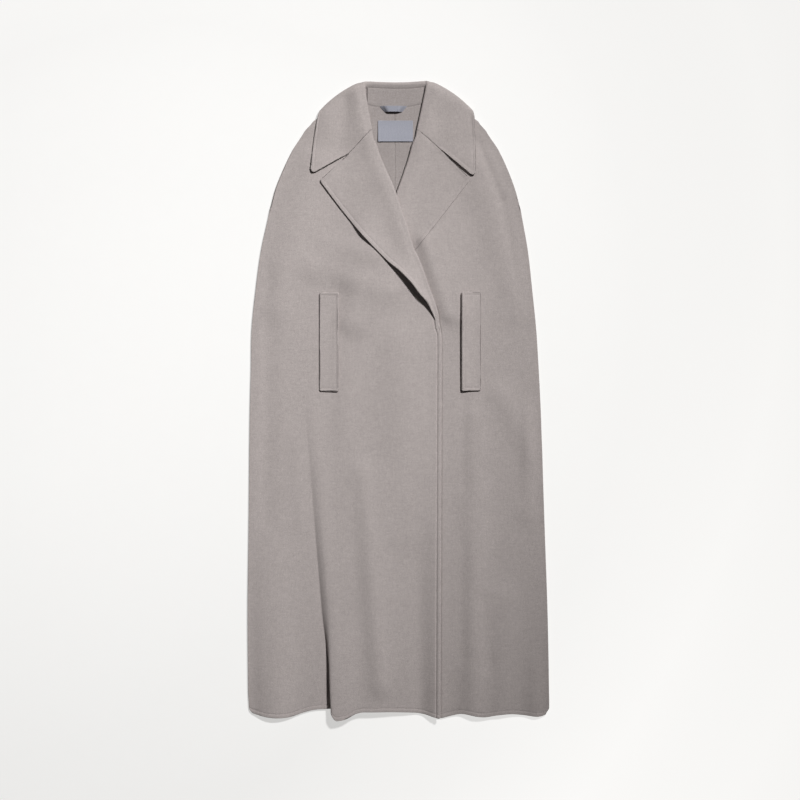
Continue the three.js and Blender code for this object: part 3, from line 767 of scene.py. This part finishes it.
def round_front(rows, front, gorge_row, body_count):
    """Round the lapel's tip, the hem's outer corner and the over front's corner at its free edge."""
    tip, below = (np.array([front.lapel["x"][i], front.lapel["y"][i]]) for i in (0, 1))
    notch = np.array(front.notch)
    leaf = rows[gorge_row:, body_count + ROLL_STEPS:]
    round_corner(leaf, tip, below - tip, notch - tip, front.tip_radius)
    hem = rows[-len(EDGE_STEPS):, :body_count]
    inward = (front.inward, SIDE_CORNER.slope)
    round_corner(hem[:, :SIDE_CORNER.columns], hem[-1, 0, :2].copy(), inward, (0, 1), SIDE_CORNER.radius)
    if front is OVER_FRONT:
        edge = hem[:, -FRONT_CORNER.columns:]
        inward = (-front.inward, FRONT_CORNER.slope)
        round_corner(edge, edge[-1, -1, :2].copy(), inward, (0, 1), FRONT_CORNER.radius)


NOTCH_MARGIN = 1.0


def leaf_seam(points, notch):
    """Where a leaf's upper or lower row is sewn: from the roll to the notch's corner."""
    return np.abs(points[:, 0]) < abs(notch[0]) - NOTCH_MARGIN


def front_wall(name, front):
    rows, relief = [], []
    for y in FRONT_ROWS:
        body = front_body(front, y)
        leaf, leaf_relief = lapel_part(front, y, body[-1])
        rows.append(np.concatenate([body, leaf]))
        relief.append(np.concatenate([body_relief(front, body, y), leaf_relief]))
    rows = np.array(rows)
    gorge_row = FRONT_ROWS.index(GORGE_Y)
    rim = np.full(rows.shape[:2], CLOTH / 2)
    rim[:gorge_row] = SEAM_RIM
    rim[gorge_row][leaf_seam(rows[gorge_row], front.notch)] = SEAM_RIM
    round_front(rows, front, gorge_row, len(body))
    return cloth_wall(name, rows, relief=np.array(relief), rim=rim)


# Backs: from the side to the centre back seam, up to the shoulder line and the neck seam
NECK_CORNER_X = dict(left=-80.5, right=71.0)
SHOULDER_COLUMNS = 12
NECK_COLUMNS = 22
BACK_SEAM_GAP = 0.12
BACK_SEAM_STEPS = np.array([2.2, 1.4, 0.7])
BACK_SEAM_DEPTH = 0.7
BACK_SEAM_WIDTH = 1.1
BACK_ROWS = np.concatenate([
    spaced(SHOULDER_END_Y, 474, spacing=5),
    spaced(466, 250, spacing=8),
    spaced(236, BACK_HEM_Y + EDGE_STEPS[0], spacing=15),
    BACK_HEM_Y + EDGE_STEPS[1:],
])


def neck_seam_y(x):
    return look_up(NECK_SEAM, "x", "y", x)


def back_top(x, side_x, neck_x):
    t = np.clip((x - side_x) / (neck_x - side_x), 0, 1)
    shoulder = mix(SHOULDER_END_Y, SHOULDER_Y, t) + bowed(SHOULDER_BOW, t)
    return np.where(t < 1, shoulder, neck_seam_y(x))


def back_wall(name, side):
    inward = 1 if side == "left" else -1
    centre = CENTRE_BACK_X - inward * BACK_SEAM_GAP / 2
    neck_x = NECK_CORNER_X[side]
    top_side_x = SIDES[side][0]
    tops = np.concatenate([
        spread(top_side_x, neck_x, SHOULDER_COLUMNS),
        spread(neck_x, centre, NECK_COLUMNS)[1:-1],
        centre - BACK_SEAM_STEPS * inward,
        [centre],
    ])
    rise = back_top(tops, top_side_x, neck_x) - SHOULDER_END_Y
    rows = []
    for level in BACK_ROWS:
        side_x = float(look_up(SIDES, "y", side, level))
        x = mix(side_x, centre, (tops - top_side_x) / (centre - top_side_x))
        y = level + rise * (1 - smooth((SHOULDER_END_Y - level) / SHOULDER_REACH))
        rows.append(np.stack([x, y, back_height(x, y)], axis=-1))
    rows = np.array(rows)
    rim = np.full(rows.shape[:2], SEAM_RIM)
    rim[-1] = CLOTH / 2
    corner = rows[-len(EDGE_STEPS):, :BACK_CORNER.columns]
    round_corner(corner, rows[-1, 0, :2].copy(), (inward, 0), (0, 1), BACK_CORNER.radius)
    relief = -BACK_SEAM_DEPTH * bell(rows[..., 0] - centre, BACK_SEAM_WIDTH)
    return cloth_wall(name, rows, relief=relief, rim=rim)


# Collar fall: sections from the left gorge round the neck to the right one. Out is the direction in which its
# roll faces. Fold is 90 where the leaf lies on the front, 0 at the shoulder's outline, -90 under the back.
COLLAR = table(["roll_x", "roll_y", "out", "end_x", "end_y", "bow", "fold", "strip"], [
    [-53.3, 537.1, 9, -176.5, 446.5, -12, 90, 0.1],
    [-56.4, 553, 9, -174.5, 474, -5, 90, 0.8],
    [-61, 577, 9, -171, 505, 0, 90, 6.5],
    [-64.8, 601, 10, -167, 533, 3, 90, 11],
    [-67.2, 619, 14, -161.5, 558, 6, 66, 13],
    [-67.4, 630.5, 35, -153, 571, 6, 0, 12],
    [-59.5, 633.2, 70, -149, 567, 4, -66, 7.7],
    [-42, 632.5, 86, -114, 545, 0, -90, 7.6],
    [-26, 632, 89, -66, 533, 0, -90, 8],
    [-5, 631.5, 90, -8, 529, 0, -90, 8],
    [18, 632, 91, 50, 533, 0, -90, 8.2],
    [34, 633, 94, 98, 545, 0, -90, 8],
    [49, 634, 110, 138, 567, 4, -66, 7.7],
    [55.5, 632, 145, 144, 571, 6, 0, 13],
    [54.5, 621, 166, 150.5, 558, 6, 66, 15.5],
    [51, 603, 170, 153, 534, 3, 90, 15],
    [46, 579, 169, 154, 508, 0, 90, 9],
    [40.5, 554, 168, 154.5, 474, 0, 90, 2],
    [36.7, 537.1, 168, 153.5, 440, 0, 90, 0.3],
])
COLLAR_LAST = len(COLLAR["out"]) - 1
STRIP_STEPS = 5
GORGE_GAP = 0.8         # up the coat, which leaves the seam's own gap across it
END_SHARES = np.array([0, 0.06, 0.14, 0.22, 0.28, 0.34, 0.4, 0.46, 0.54, 0.64, 0.8])
SECTIONS_PER_ROW = 7
COLLAR_CORNER = 15.0    # radius of its points
CORNER_SECTIONS = 30
CORNER_ROW = 2          # the outer edge runs from a point towards the end of this row
WRAP_OFFSET = FLAT + LAYER + 1      # from a section's line to the leaf, where it turns under at the outline
ON_FRONT_SHARE = 0.7    # share of the way to the front's level at which the relief begins
COLLAR_LIFT = 2.8       # how far the free points of the collar stand off the fronts
LIFT_ROWS = 1.6         # rows from each end within which they do
LIFT_START = 55.0       # distance from the roll at which it begins
LIFT_EASE = 50.0
SEWN_DEPTH = 0.6        # groove at the seams above and below the collar stand
SEWN_WIDTH = 1.2
COLLAR_CREASES = ridge_table([
    [-106, 600, -112, 500, 15, -3.0, -1.8],
    [-140, 565, -150, 480, 13, 0.9, 0.5],
    [66, 604, 72, 548, 12, -1.3, -0.8],
    [104, 590, 118, 480, 18, 0.9, 0.6],
    [143, 566, 145.5, 522, 3.2, -1.5, -0.4],
    [136, 560, 139, 530, 3.5, -0.7, -0.3],
])


def collar_place(place):
    """What a section is built on: its line on the floor, its directions and the front that it lies on."""
    at = {name: float(between(COLLAR, name, place)) for name in COLLAR}
    is_left = place < COLLAR_LAST / 2
    out = math.radians(at["out"])
    outward = np.array([math.cos(out), math.sin(out), 0])
    base = np.array([at["roll_x"], at["roll_y"], 0]) - outward * ROLL_RADIUS
    along = np.array([at["end_x"], at["end_y"], 0]) - base
    reach = float(np.linalg.norm(along))
    fold = math.radians(min(max(at["fold"], -90), 90))
    return Values(
        **at, outward=outward, base=base, along=along, reach=reach, angle=fold, is_left=is_left,
        front=(1 + math.sin(fold)) / 2,
        across=np.array([-along[1], along[0], 0]) / reach * (-1 if is_left else 1),
        from_end=min(place, COLLAR_LAST - place),
        notch=OVER_NOTCH if is_left else UNDER_NOTCH,
        lying=over_height if is_left else under_height,
    )


def strip_and_roll(at):
    """Points from the strip's seam to the end of the roll."""
    turned = at.across * math.cos(at.angle) + np.array([0, 0, math.sin(at.angle)])
    front_level = float(at.lying(at.base[0], at.base[1]))
    axis = at.base + np.array([0, 0, mix(FLAT + ROLL_RADIUS, front_level + ROLL_RADIUS, at.front)])
    angle = math.pi * spread(0, 1, ROLL_STEPS)
    roll = axis + ROLL_RADIUS * (np.outer(-np.cos(angle), turned) + np.outer(np.sin(angle), at.outward))
    shares = spread(0, 1, STRIP_STEPS)[1:][::-1]
    strip = roll[0] - np.outer(shares * at.strip, at.outward)
    strip[:, 2] = mix(roll[0][2], mix(FLAT + LAYER, front_level, at.front), smooth(shares))
    return np.concatenate([strip, roll])


def collar_leaf(at, start_level):
    """Points and relief from the roll to the leaf's edge."""
    shares = leaf_shares(at.reach)
    distance = at.reach * shares
    straight = at.base + np.outer(shares, at.along) + np.outer(bowed(at.bow, shares), at.across)
    corner = np.array([at.notch[0], at.notch[1] + GORGE_GAP, 0])
    bent = leaf_path(at.base, corner, at.base + at.along, shares)
    leaf = mix(straight, bent, 1 - smooth(at.from_end))
    settled = smooth(distance / SETTLE)
    leaf += np.outer(mix(ROLL_RADIUS, WRAP_OFFSET, settled) * math.cos(at.angle), at.across)
    on_front = smooth((at.front - ON_FRONT_SHARE) / (1 - ON_FRONT_SHARE))
    swell = (puff(distance, COLLAR_PUFF) + ridge_height(COLLAR_CREASES, leaf[:, 0], leaf[:, 1])) * on_front
    free_end = 1 - smooth(at.from_end / LIFT_ROWS)
    swell += COLLAR_LIFT * free_end * smooth((distance - LIFT_START) / LIFT_EASE)
    top = at.lying(leaf[:, 0], leaf[:, 1]) + LAYER + roll_loft(distance) + swell
    leaf[:, 2] = mix(start_level, mix(FLAT, top, at.front), settled)
    lower_edge = [at.notch, collar_point(at.is_left)]
    from_edge = np.minimum(at.reach - distance, to_line(leaf[:, 0], leaf[:, 1], lower_edge))
    return leaf, edge_relief(from_edge) * settled * on_front


def collar_section(place):
    """Points and relief of one section, from the strip's seam over the roll to the leaf's edge."""
    at = collar_place(place)
    inner = strip_and_roll(at)
    leaf, relief = collar_leaf(at, inner[-1][2])
    sewn = np.zeros(len(inner))
    sewn[0] = -SEWN_DEPTH
    return np.concatenate([inner, leaf]), np.concatenate([sewn, relief])


def collar_point(is_left):
    row = 0 if is_left else COLLAR_LAST
    return COLLAR["end_x"][row], COLLAR["end_y"][row]


def collar_fall():
    middle = spread(1, COLLAR_LAST - 1, (COLLAR_LAST - 2) * SECTIONS_PER_ROW)
    places = np.concatenate([END_SHARES, middle, COLLAR_LAST - END_SHARES[::-1]])
    rows, relief = (np.array(part) for part in zip(*(collar_section(float(place)) for place in places)))
    rim = np.full(rows.shape[:2], CLOTH / 2)
    rim[:, 0] = SEAM_RIM
    sewn = STRIP_STEPS + ROLL_STEPS + 1
    rim[0, :sewn] = rim[-1, :sewn] = SEAM_RIM
    ends = (
        (True, OVER_NOTCH, 0, slice(0, CORNER_SECTIONS), CORNER_ROW),
        (False, UNDER_NOTCH, -1, slice(-CORNER_SECTIONS, None), COLLAR_LAST - CORNER_ROW),
    )
    for is_left, notch, last, sections, row in ends:
        rim[last][leaf_seam(rows[last], notch)] = SEAM_RIM
        point = np.array(collar_point(is_left))
        outer = np.array([COLLAR["end_x"][row], COLLAR["end_y"][row]]) - point
        round_corner(rows[sections, sewn:], point, notch - point, outer, COLLAR_CORNER)
    return cloth_wall("collar_fall_wool", rows, relief=relief, rim=rim)


# Collar stand: from the neck seam to the collar's inner seam, under these rows of the collar's table
STAND_ROWS = (6, 12)
STAND_COLUMNS = 48
STAND_GAP = 0.3
STAND_SHARES = (0, 0.04, 0.1, 0.2, 0.35, 0.5, 0.65, 0.8, 0.9, 0.96, 1)


def collar_stand():
    tops = np.array([collar_section(float(place))[0][0] for place in spread(*STAND_ROWS, STAND_COLUMNS)])
    rows = []
    for t in STAND_SHARES:
        y = mix(neck_seam_y(tops[:, 0]) + STAND_GAP, tops[:, 1] - STAND_GAP, t)
        rows.append(np.stack([tops[:, 0], y, np.full(len(y), FLAT + LAYER)], axis=-1))
    rows = np.array(rows)
    from_seam = np.minimum(rows[..., 1] - rows[0, :, 1], rows[-1, :, 1] - rows[..., 1])
    relief = -SEWN_DEPTH * bell(from_seam, SEWN_WIDTH)
    return cloth_wall("collar_stand_wool", rows, relief=relief, rim=np.full(rows.shape[:2], SEAM_RIM))


# Flat pieces that lie on a panel: a grid of points raised from the panel's own height. Arch adds the piece's
# form, and goes from 0 to 1 from its left to its right and from its top to its bottom.
LAID_GAP = 0.3
LAID_CORNER = 1.5       # radius of a corner, as a share of the thickness


def laid_piece(name, size, height, u_steps, v_steps, arch, relief=None):
    left, right, bottom, top, thickness, taper = size
    lift = CLOTH / 2 + SEAM_GAP + thickness / 2
    rows = []
    for v in v_steps:
        x = mix(left + taper * v, right - taper * v, u_steps)
        y = np.full(len(x), mix(top, bottom, v))
        rows.append(np.stack([x, y, height(x, y) + lift + (LAID_GAP + arch(u_steps, v))], axis=-1))
    rows = np.array(rows)
    if taper == 0:
        for x, inward in ((left, 1), (right, -1)):
            for y, upward in ((top, -1), (bottom, 1)):
                round_corner(rows, (x, y), (inward, 0), (0, upward), LAID_CORNER * thickness)
    return cloth_wall(name, rows, thickness, relief=relief)


def edge_spread(length, fine=EDGE_STEPS, spacing=7.0):
    """Shares of a length with both ends finely divided."""
    ends = fine[::-1] / length
    middle = spaced(fine[0] / length, 1 - fine[0] / length, spacing / length)[1:-1]
    return np.concatenate([ends, middle, 1 - ends[::-1]])


# Welts of the arm slits: their inner edge lies free and stands a little off the front
WELT = Values(width=39.0, length=198.0, thickness=3.0, edge=16.0, rise=2.5, seam_shift=1.5, roundness=0.3)
WELT_RIGHT = Values(left=-158.3, top=213.0, gape=-1.8)      # gape: how much further its middle stands open
WELT_LEFT = Values(left=125.5, top=214.0, gape=2.4)


def welt(name, place, height, slit_at_left):
    width, length = WELT.width, WELT.length
    u_steps = edge_spread(width, EDGE_STEPS[EDGE_STEPS <= WELT.edge])
    v_steps = edge_spread(length)
    from_slit = u_steps * width if slit_at_left else (1 - u_steps) * width

    def arch(u, v):
        gape = place.gape * math.sin(math.pi * v) ** WELT.roundness
        return (WELT.rise + gape) * smooth(1 - from_slit / width) ** 2

    from_end = np.minimum(v_steps, 1 - v_steps)[:, None] * length
    relief = edge_relief(np.minimum(from_slit[None], from_end) + WELT.seam_shift)
    size = (place.left, place.left + width, place.top - length, place.top, WELT.thickness, 0)
    return laid_piece(name, size, height, u_steps, v_steps, arch, relief)


# Hanger loop and label. Sizes are left, right, bottom, top, thickness and the taper towards the bottom.
LOOP = (-37.5, 17.0, 573.0, 585.0 - SEAM_GAP, 1.0, 10.0)
LOOP_LIFT = 6.5
LOOP_COLUMNS = 40
LOOP_ROWS = 8
LABEL_LEFT = -41.3
LABEL_BOTTOM = 514.0
LABEL_WIDTH = 70.0
LABEL_DEPTH = 42.0
LABEL = (LABEL_LEFT, LABEL_LEFT + LABEL_WIDTH, LABEL_BOTTOM, LABEL_BOTTOM + LABEL_DEPTH, 0.8, 0)
LABEL_STEPS = np.array([6, 4.6, 3.6, 2.8, 2, 1.2, 0.6, 0])
LABEL_HEM = Values(depth=3.2, ease=0.8, rise=0.25)
LABEL_PRESS = Values(depth=0.3, width=1.6)      # by the back's seam below it
LABEL_LIFT = Values(bottom=1.5, left=0.6, held=0.1, left_share=0.3, ripple=0.12)


def hanger_loop():
    def arch(u, v):
        return LOOP_LIFT * smooth(5 * u * (1 - u))

    columns, rows = spread(0, 1, LOOP_COLUMNS), spread(0, 1, LOOP_ROWS)
    return laid_piece("hanger_loop_ribbon", LOOP, back_height, columns, rows, arch)


def label():
    u_steps = edge_spread(LABEL_WIDTH, LABEL_STEPS)
    v_steps = edge_spread(LABEL_DEPTH, LABEL_STEPS)
    from_top = v_steps[:, None] * LABEL_DEPTH
    hem = LABEL_HEM.rise * smooth((from_top - LABEL_DEPTH + LABEL_HEM.depth) / LABEL_HEM.ease)
    from_seam = u_steps[None] * LABEL_WIDTH + LABEL_LEFT - CENTRE_BACK_X
    press = LABEL_PRESS.depth * bell(from_seam, LABEL_PRESS.width)

    def arch(u, v):
        held = LABEL_LIFT.held
        loose = LABEL_LIFT.bottom * smooth((v - held) / (1 - held))
        loose += LABEL_LIFT.left * smooth(1 - u / LABEL_LIFT.left_share)
        return loose + LABEL_LIFT.ripple * np.sin(8 * u + 3 * v)

    return laid_piece("label_woven", LABEL, back_height, u_steps, v_steps, arch, hem - press)


# The drawing's place in the frame, read from the label's box
SHIFT = np.array(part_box("label")[0]) / MM - np.array([LABEL_LEFT, LABEL_BOTTOM, 0])
SHIFT[2] = 0


# Materials
def material(name, values):
    """A material with these values on its shader's own sockets."""
    made = bpy.data.materials.new(name)
    made.use_nodes = True
    sockets = made.node_tree.nodes["Principled BSDF"].inputs
    for socket, value in values.items():
        sockets[socket].default_value = value
    return made, made.node_tree, sockets


def add_node(tree, kind, links, values):
    node = tree.nodes.new(kind)
    for socket, value in values.items():
        node.inputs[socket].default_value = value
    for socket, output in links.items():
        tree.links.new(output, node.inputs[socket])
    return node


def noise(tree, vector, scale, detail=3.0, roughness=0.6):
    values = dict(Scale=scale, Detail=detail, Roughness=roughness)
    return add_node(tree, "ShaderNodeTexNoise", dict(Vector=vector), values).outputs["Fac"]


def stretched(tree, scale=(1, 1, 1)):
    place = tree.nodes.new("ShaderNodeTexCoord").outputs["Object"]
    return add_node(tree, "ShaderNodeMapping", dict(Vector=place), dict(Scale=scale)).outputs["Vector"]


def ramp(tree, value, stops):
    node = add_node(tree, "ShaderNodeValToRGB", dict(Fac=value), {})
    elements = node.color_ramp.elements
    while len(elements) < len(stops):
        elements.new(0.5)
    for element, (position, color) in zip(elements, stops):
        element.position = position
        element.color = (*color, 1)
    return node.outputs["Color"]


def blend_colors(tree, first, second, factor, mode="MIX"):
    node = tree.nodes.new("ShaderNodeMix")
    node.data_type = "RGBA"
    node.blend_type = mode
    node.inputs["Factor"].default_value = factor
    tree.links.new(first, node.inputs["A"])
    tree.links.new(second, node.inputs["B"])
    return node.outputs["Result"]


def bump(tree, height, strength, distance, below=None):
    links = dict(Height=height) if below is None else dict(Height=height, Normal=below)
    values = dict(Strength=strength, Distance=distance)
    return add_node(tree, "ShaderNodeBump", links, values).outputs["Normal"]


# Grey-beige wool: fine fibres of lighter and darker grey, with a trace of the weave and a soft unevenness
WOOL_VALUES = {
    "Roughness": 0.9, "Specular IOR Level": 0.2, "Sheen Weight": 0.12, "Sheen Roughness": 0.55,
    "Sheen Tint": (0.95, 0.9, 0.88, 1),
}
WOOL_TONES = [(0.3, (0.272, 0.242, 0.2335)), (0.5, (0.406, 0.362, 0.3495)), (0.7, (0.540, 0.481, 0.4645))]
WOOL_TINTS = [("plain", 430, 0.055), ("along", 330, 0.034), ("across", 330, 0.034), ("plain", 22, 0.012)]
TINT_ENDS = (0.32, 0.68)


def tint(tree, value, amount):
    """A multiplier that varies around 1 with a noise."""
    return ramp(tree, value, [(end, (tone,) * 3) for end, tone in zip(TINT_ENDS, (1 - amount, 1 + amount))])


def wool(name, depth):
    """The cloth's finish; depth scales its colour, and below 1 it darkens the wool as painted shade."""
    made, tree, sockets = material(name, WOOL_VALUES)
    grain = dict(
        plain=stretched(tree),
        along=stretched(tree, (1, 0.2, 1)),
        across=stretched(tree, (0.2, 1, 1)),
    )
    tones = [(place, tuple(part * depth for part in color)) for place, color in WOOL_TONES]
    shade = ramp(tree, noise(tree, grain["plain"], 1500, detail=4, roughness=0.65), tones)
    for way, scale, amount in WOOL_TINTS:
        fibres = noise(tree, grain[way], scale, detail=2, roughness=0.5)
        shade = blend_colors(tree, shade, tint(tree, fibres, amount), 1.0, "MULTIPLY")
    nap = bump(tree, noise(tree, grain["plain"], 170), strength=0.22, distance=0.0005)
    hairs = noise(tree, grain["along"], 1200, roughness=0.7)
    tree.links.new(shade, sockets["Base Color"])
    tree.links.new(bump(tree, hairs, strength=0.45, distance=0.0002, below=nap), sockets["Normal"])
    return made


def woven(name, dark, light, roughness, thread):
    """Ribbon or label cloth: fine ribs across it and a faint weave along it."""
    made, tree, sockets = material(name, {"Roughness": roughness, "Sheen Weight": 0.2})
    plain = stretched(tree)
    wave = add_node(tree, "ShaderNodeTexWave", dict(Vector=plain), dict(Scale=thread, Distortion=1.2))
    wave.bands_direction = "Y"
    ribs = wave.outputs["Fac"]
    weave = ramp(tree, noise(tree, plain, 700), [(0.3, dark), (0.7, light)])
    shade = blend_colors(tree, ramp(tree, ribs, [(0, dark), (1, light)]), weave, 0.5)
    tree.links.new(shade, sockets["Base Color"])
    tree.links.new(bump(tree, ribs, strength=0.4, distance=0.0002), sockets["Normal"])
    return made


# Key light: a soft-edged spot from the upper right, aimed to the left of the coat so that it fades to the
# right. A weak, wide fill light comes from the left.
KEY_PLACE = (1.85, 2.6, 4.1)
KEY_AIM = (-0.68, -0.13, 0.0)
KEY_HALF_ANGLE = math.radians(16.5)
KEY_VALUES = dict(energy=1385.0, spot_size=2 * KEY_HALF_ANGLE, spot_blend=1.0, shadow_soft_size=0.3)
FILL_PLACE = (-1.0, 1.2, 2.2)
FILL_VALUES = dict(energy=3.6, size=1.6)


def add_light(name, kind, place, aim, values):
    data = bpy.data.lights.new(name, kind)
    for key, value in values.items():
        setattr(data, key, value)
    light = add_object(name, data)
    light.location = place
    light.rotation_mode = "QUATERNION"
    light.rotation_quaternion = (Vector(aim) - Vector(place)).to_track_quat("-Z", "Y")


# The floor glows most where the key light fades, so that it looks evenly pale
FLOOR_SIZE = 8.0
FLOOR_VALUES = {"Roughness": 0.85, "Specular IOR Level": 0.0, "Emission Strength": 1.0}
FLOOR_TONES = [(0.3, (0.397, 0.3945, 0.389)), (0.7, (0.403, 0.4005, 0.395))]
FLOOR_GRAIN = 30
FLOOR_GLOW = [(0.0, 0.575), (0.3, 0.552), (0.45, 0.567), (0.6, 0.675), (0.75, 0.836), (0.9, 0.905)]
GLOW_COLOR = np.array([1, 0.992, 0.975])


def floor_glow(tree):
    """A ramp over the distance from the axis of the key light."""
    back = Vector(KEY_PLACE) - Vector(KEY_AIM)
    radius = back.length * math.tan(KEY_HALF_ANGLE)
    mapping = tree.nodes.new("ShaderNodeMapping")
    mapping.vector_type = "TEXTURE"
    mapping.inputs["Location"].default_value = KEY_AIM
    mapping.inputs["Rotation"].default_value = (0, 0, math.atan2(back.y, back.x))
    mapping.inputs["Scale"].default_value = (radius * back.length / back.z, radius, 1)
    tree.links.new(tree.nodes.new("ShaderNodeTexCoord").outputs["Object"], mapping.inputs["Vector"])
    length = tree.nodes.new("ShaderNodeVectorMath")
    length.operation = "LENGTH"
    tree.links.new(mapping.outputs["Vector"], length.inputs[0])
    return ramp(tree, length.outputs["Value"], [(end, tuple(glow * GLOW_COLOR)) for end, glow in FLOOR_GLOW])


def set_stage(low):
    made, tree, sockets = material("pale_floor", FLOOR_VALUES)
    grain = noise(tree, stretched(tree), FLOOR_GRAIN)
    tree.links.new(ramp(tree, grain, FLOOR_TONES), sockets["Base Color"])
    tree.links.new(floor_glow(tree), sockets["Emission Color"])
    mesh = bpy.data.meshes.new("floor")
    corners = [(x * FLOOR_SIZE, y * FLOOR_SIZE, low) for x, y in ((-1, -1), (1, -1), (1, 1), (-1, 1))]
    mesh.from_pydata(corners, [], [(0, 1, 2, 3)])
    mesh.materials.append(made)
    add_object("floor", mesh)


VIEW_WIDTH = 1600.0     # what the camera sees across, at the height of the floor
VIEW_CENTRE = np.array([2.7, -2.0])
CAMERA_HEIGHT = 4.5
SENSOR = 36.0
FARTHEST = 50.0


def set_camera():
    data = bpy.data.cameras.new("camera")
    data.sensor_width = SENSOR
    data.lens = SENSOR * CAMERA_HEIGHT / (VIEW_WIDTH * MM)
    data.clip_end = FARTHEST
    camera = add_object("camera", data)
    camera.location = (*((VIEW_CENTRE + SHIFT[:2]) * MM), CAMERA_HEIGHT)
    bpy.context.scene.camera = camera


WORLD_COLOR = (1, 0.995, 0.985, 1)
WORLD_STRENGTH = 0.008


def set_world():
    world = bpy.data.worlds.new("studio")
    world.use_nodes = True
    background = world.node_tree.nodes["Background"].inputs
    background["Color"].default_value = WORLD_COLOR
    background["Strength"].default_value = WORLD_STRENGTH
    bpy.context.scene.world = world


set_camera()
set_world()
set_stage(cad_box[0][2])
add_light("key", "SPOT", KEY_PLACE, KEY_AIM, KEY_VALUES)
add_light("fill", "AREA", FILL_PLACE, (0, 0, 0), FILL_VALUES)
bpy.context.scene.view_settings.view_transform = "Standard"

# The pieces: each stands for its solid and takes its finish
WOOL = wool("wool_outer_face", 1.0)
# The same wool darkened to 0.83: painted shade for the shaded inside of the neck opening, not a darker inner
# face of the cloth
WOOL_PAINTED_SHADE = wool("wool_painted_shade", 0.83)
RIBBON = woven("ribbon", (0.245, 0.25, 0.30), (0.345, 0.35, 0.40), roughness=0.6, thread=900)
LABEL_CLOTH = woven("woven_label", (0.26, 0.264, 0.315), (0.345, 0.35, 0.402), roughness=0.5, thread=1300)


def dress(piece, node, finish):
    piece.data.materials.append(finish)
    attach(piece, "root")
    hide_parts(node)


# The backs and the collar stand show inside the neck opening and take the wool with painted shade
dress(back_wall("back_left_wool", "right"), "back_left", WOOL_PAINTED_SHADE)
dress(back_wall("back_right_wool", "left"), "back_right", WOOL_PAINTED_SHADE)
dress(front_wall("front_left_wool", UNDER_FRONT), "front_left", WOOL)
dress(front_wall("front_right_wool", OVER_FRONT), "front_right", WOOL)
dress(collar_stand(), "collar_stand", WOOL_PAINTED_SHADE)
dress(collar_fall(), "collar_fall", WOOL)
dress(welt("welt_right_wool", WELT_RIGHT, over_height, False), "welt_right", WOOL)
dress(welt("welt_left_wool", WELT_LEFT, under_height, True), "welt_left", WOOL)
dress(hanger_loop(), "hanger_loop", RIBBON)
dress(label(), "label", LABEL_CLOTH)
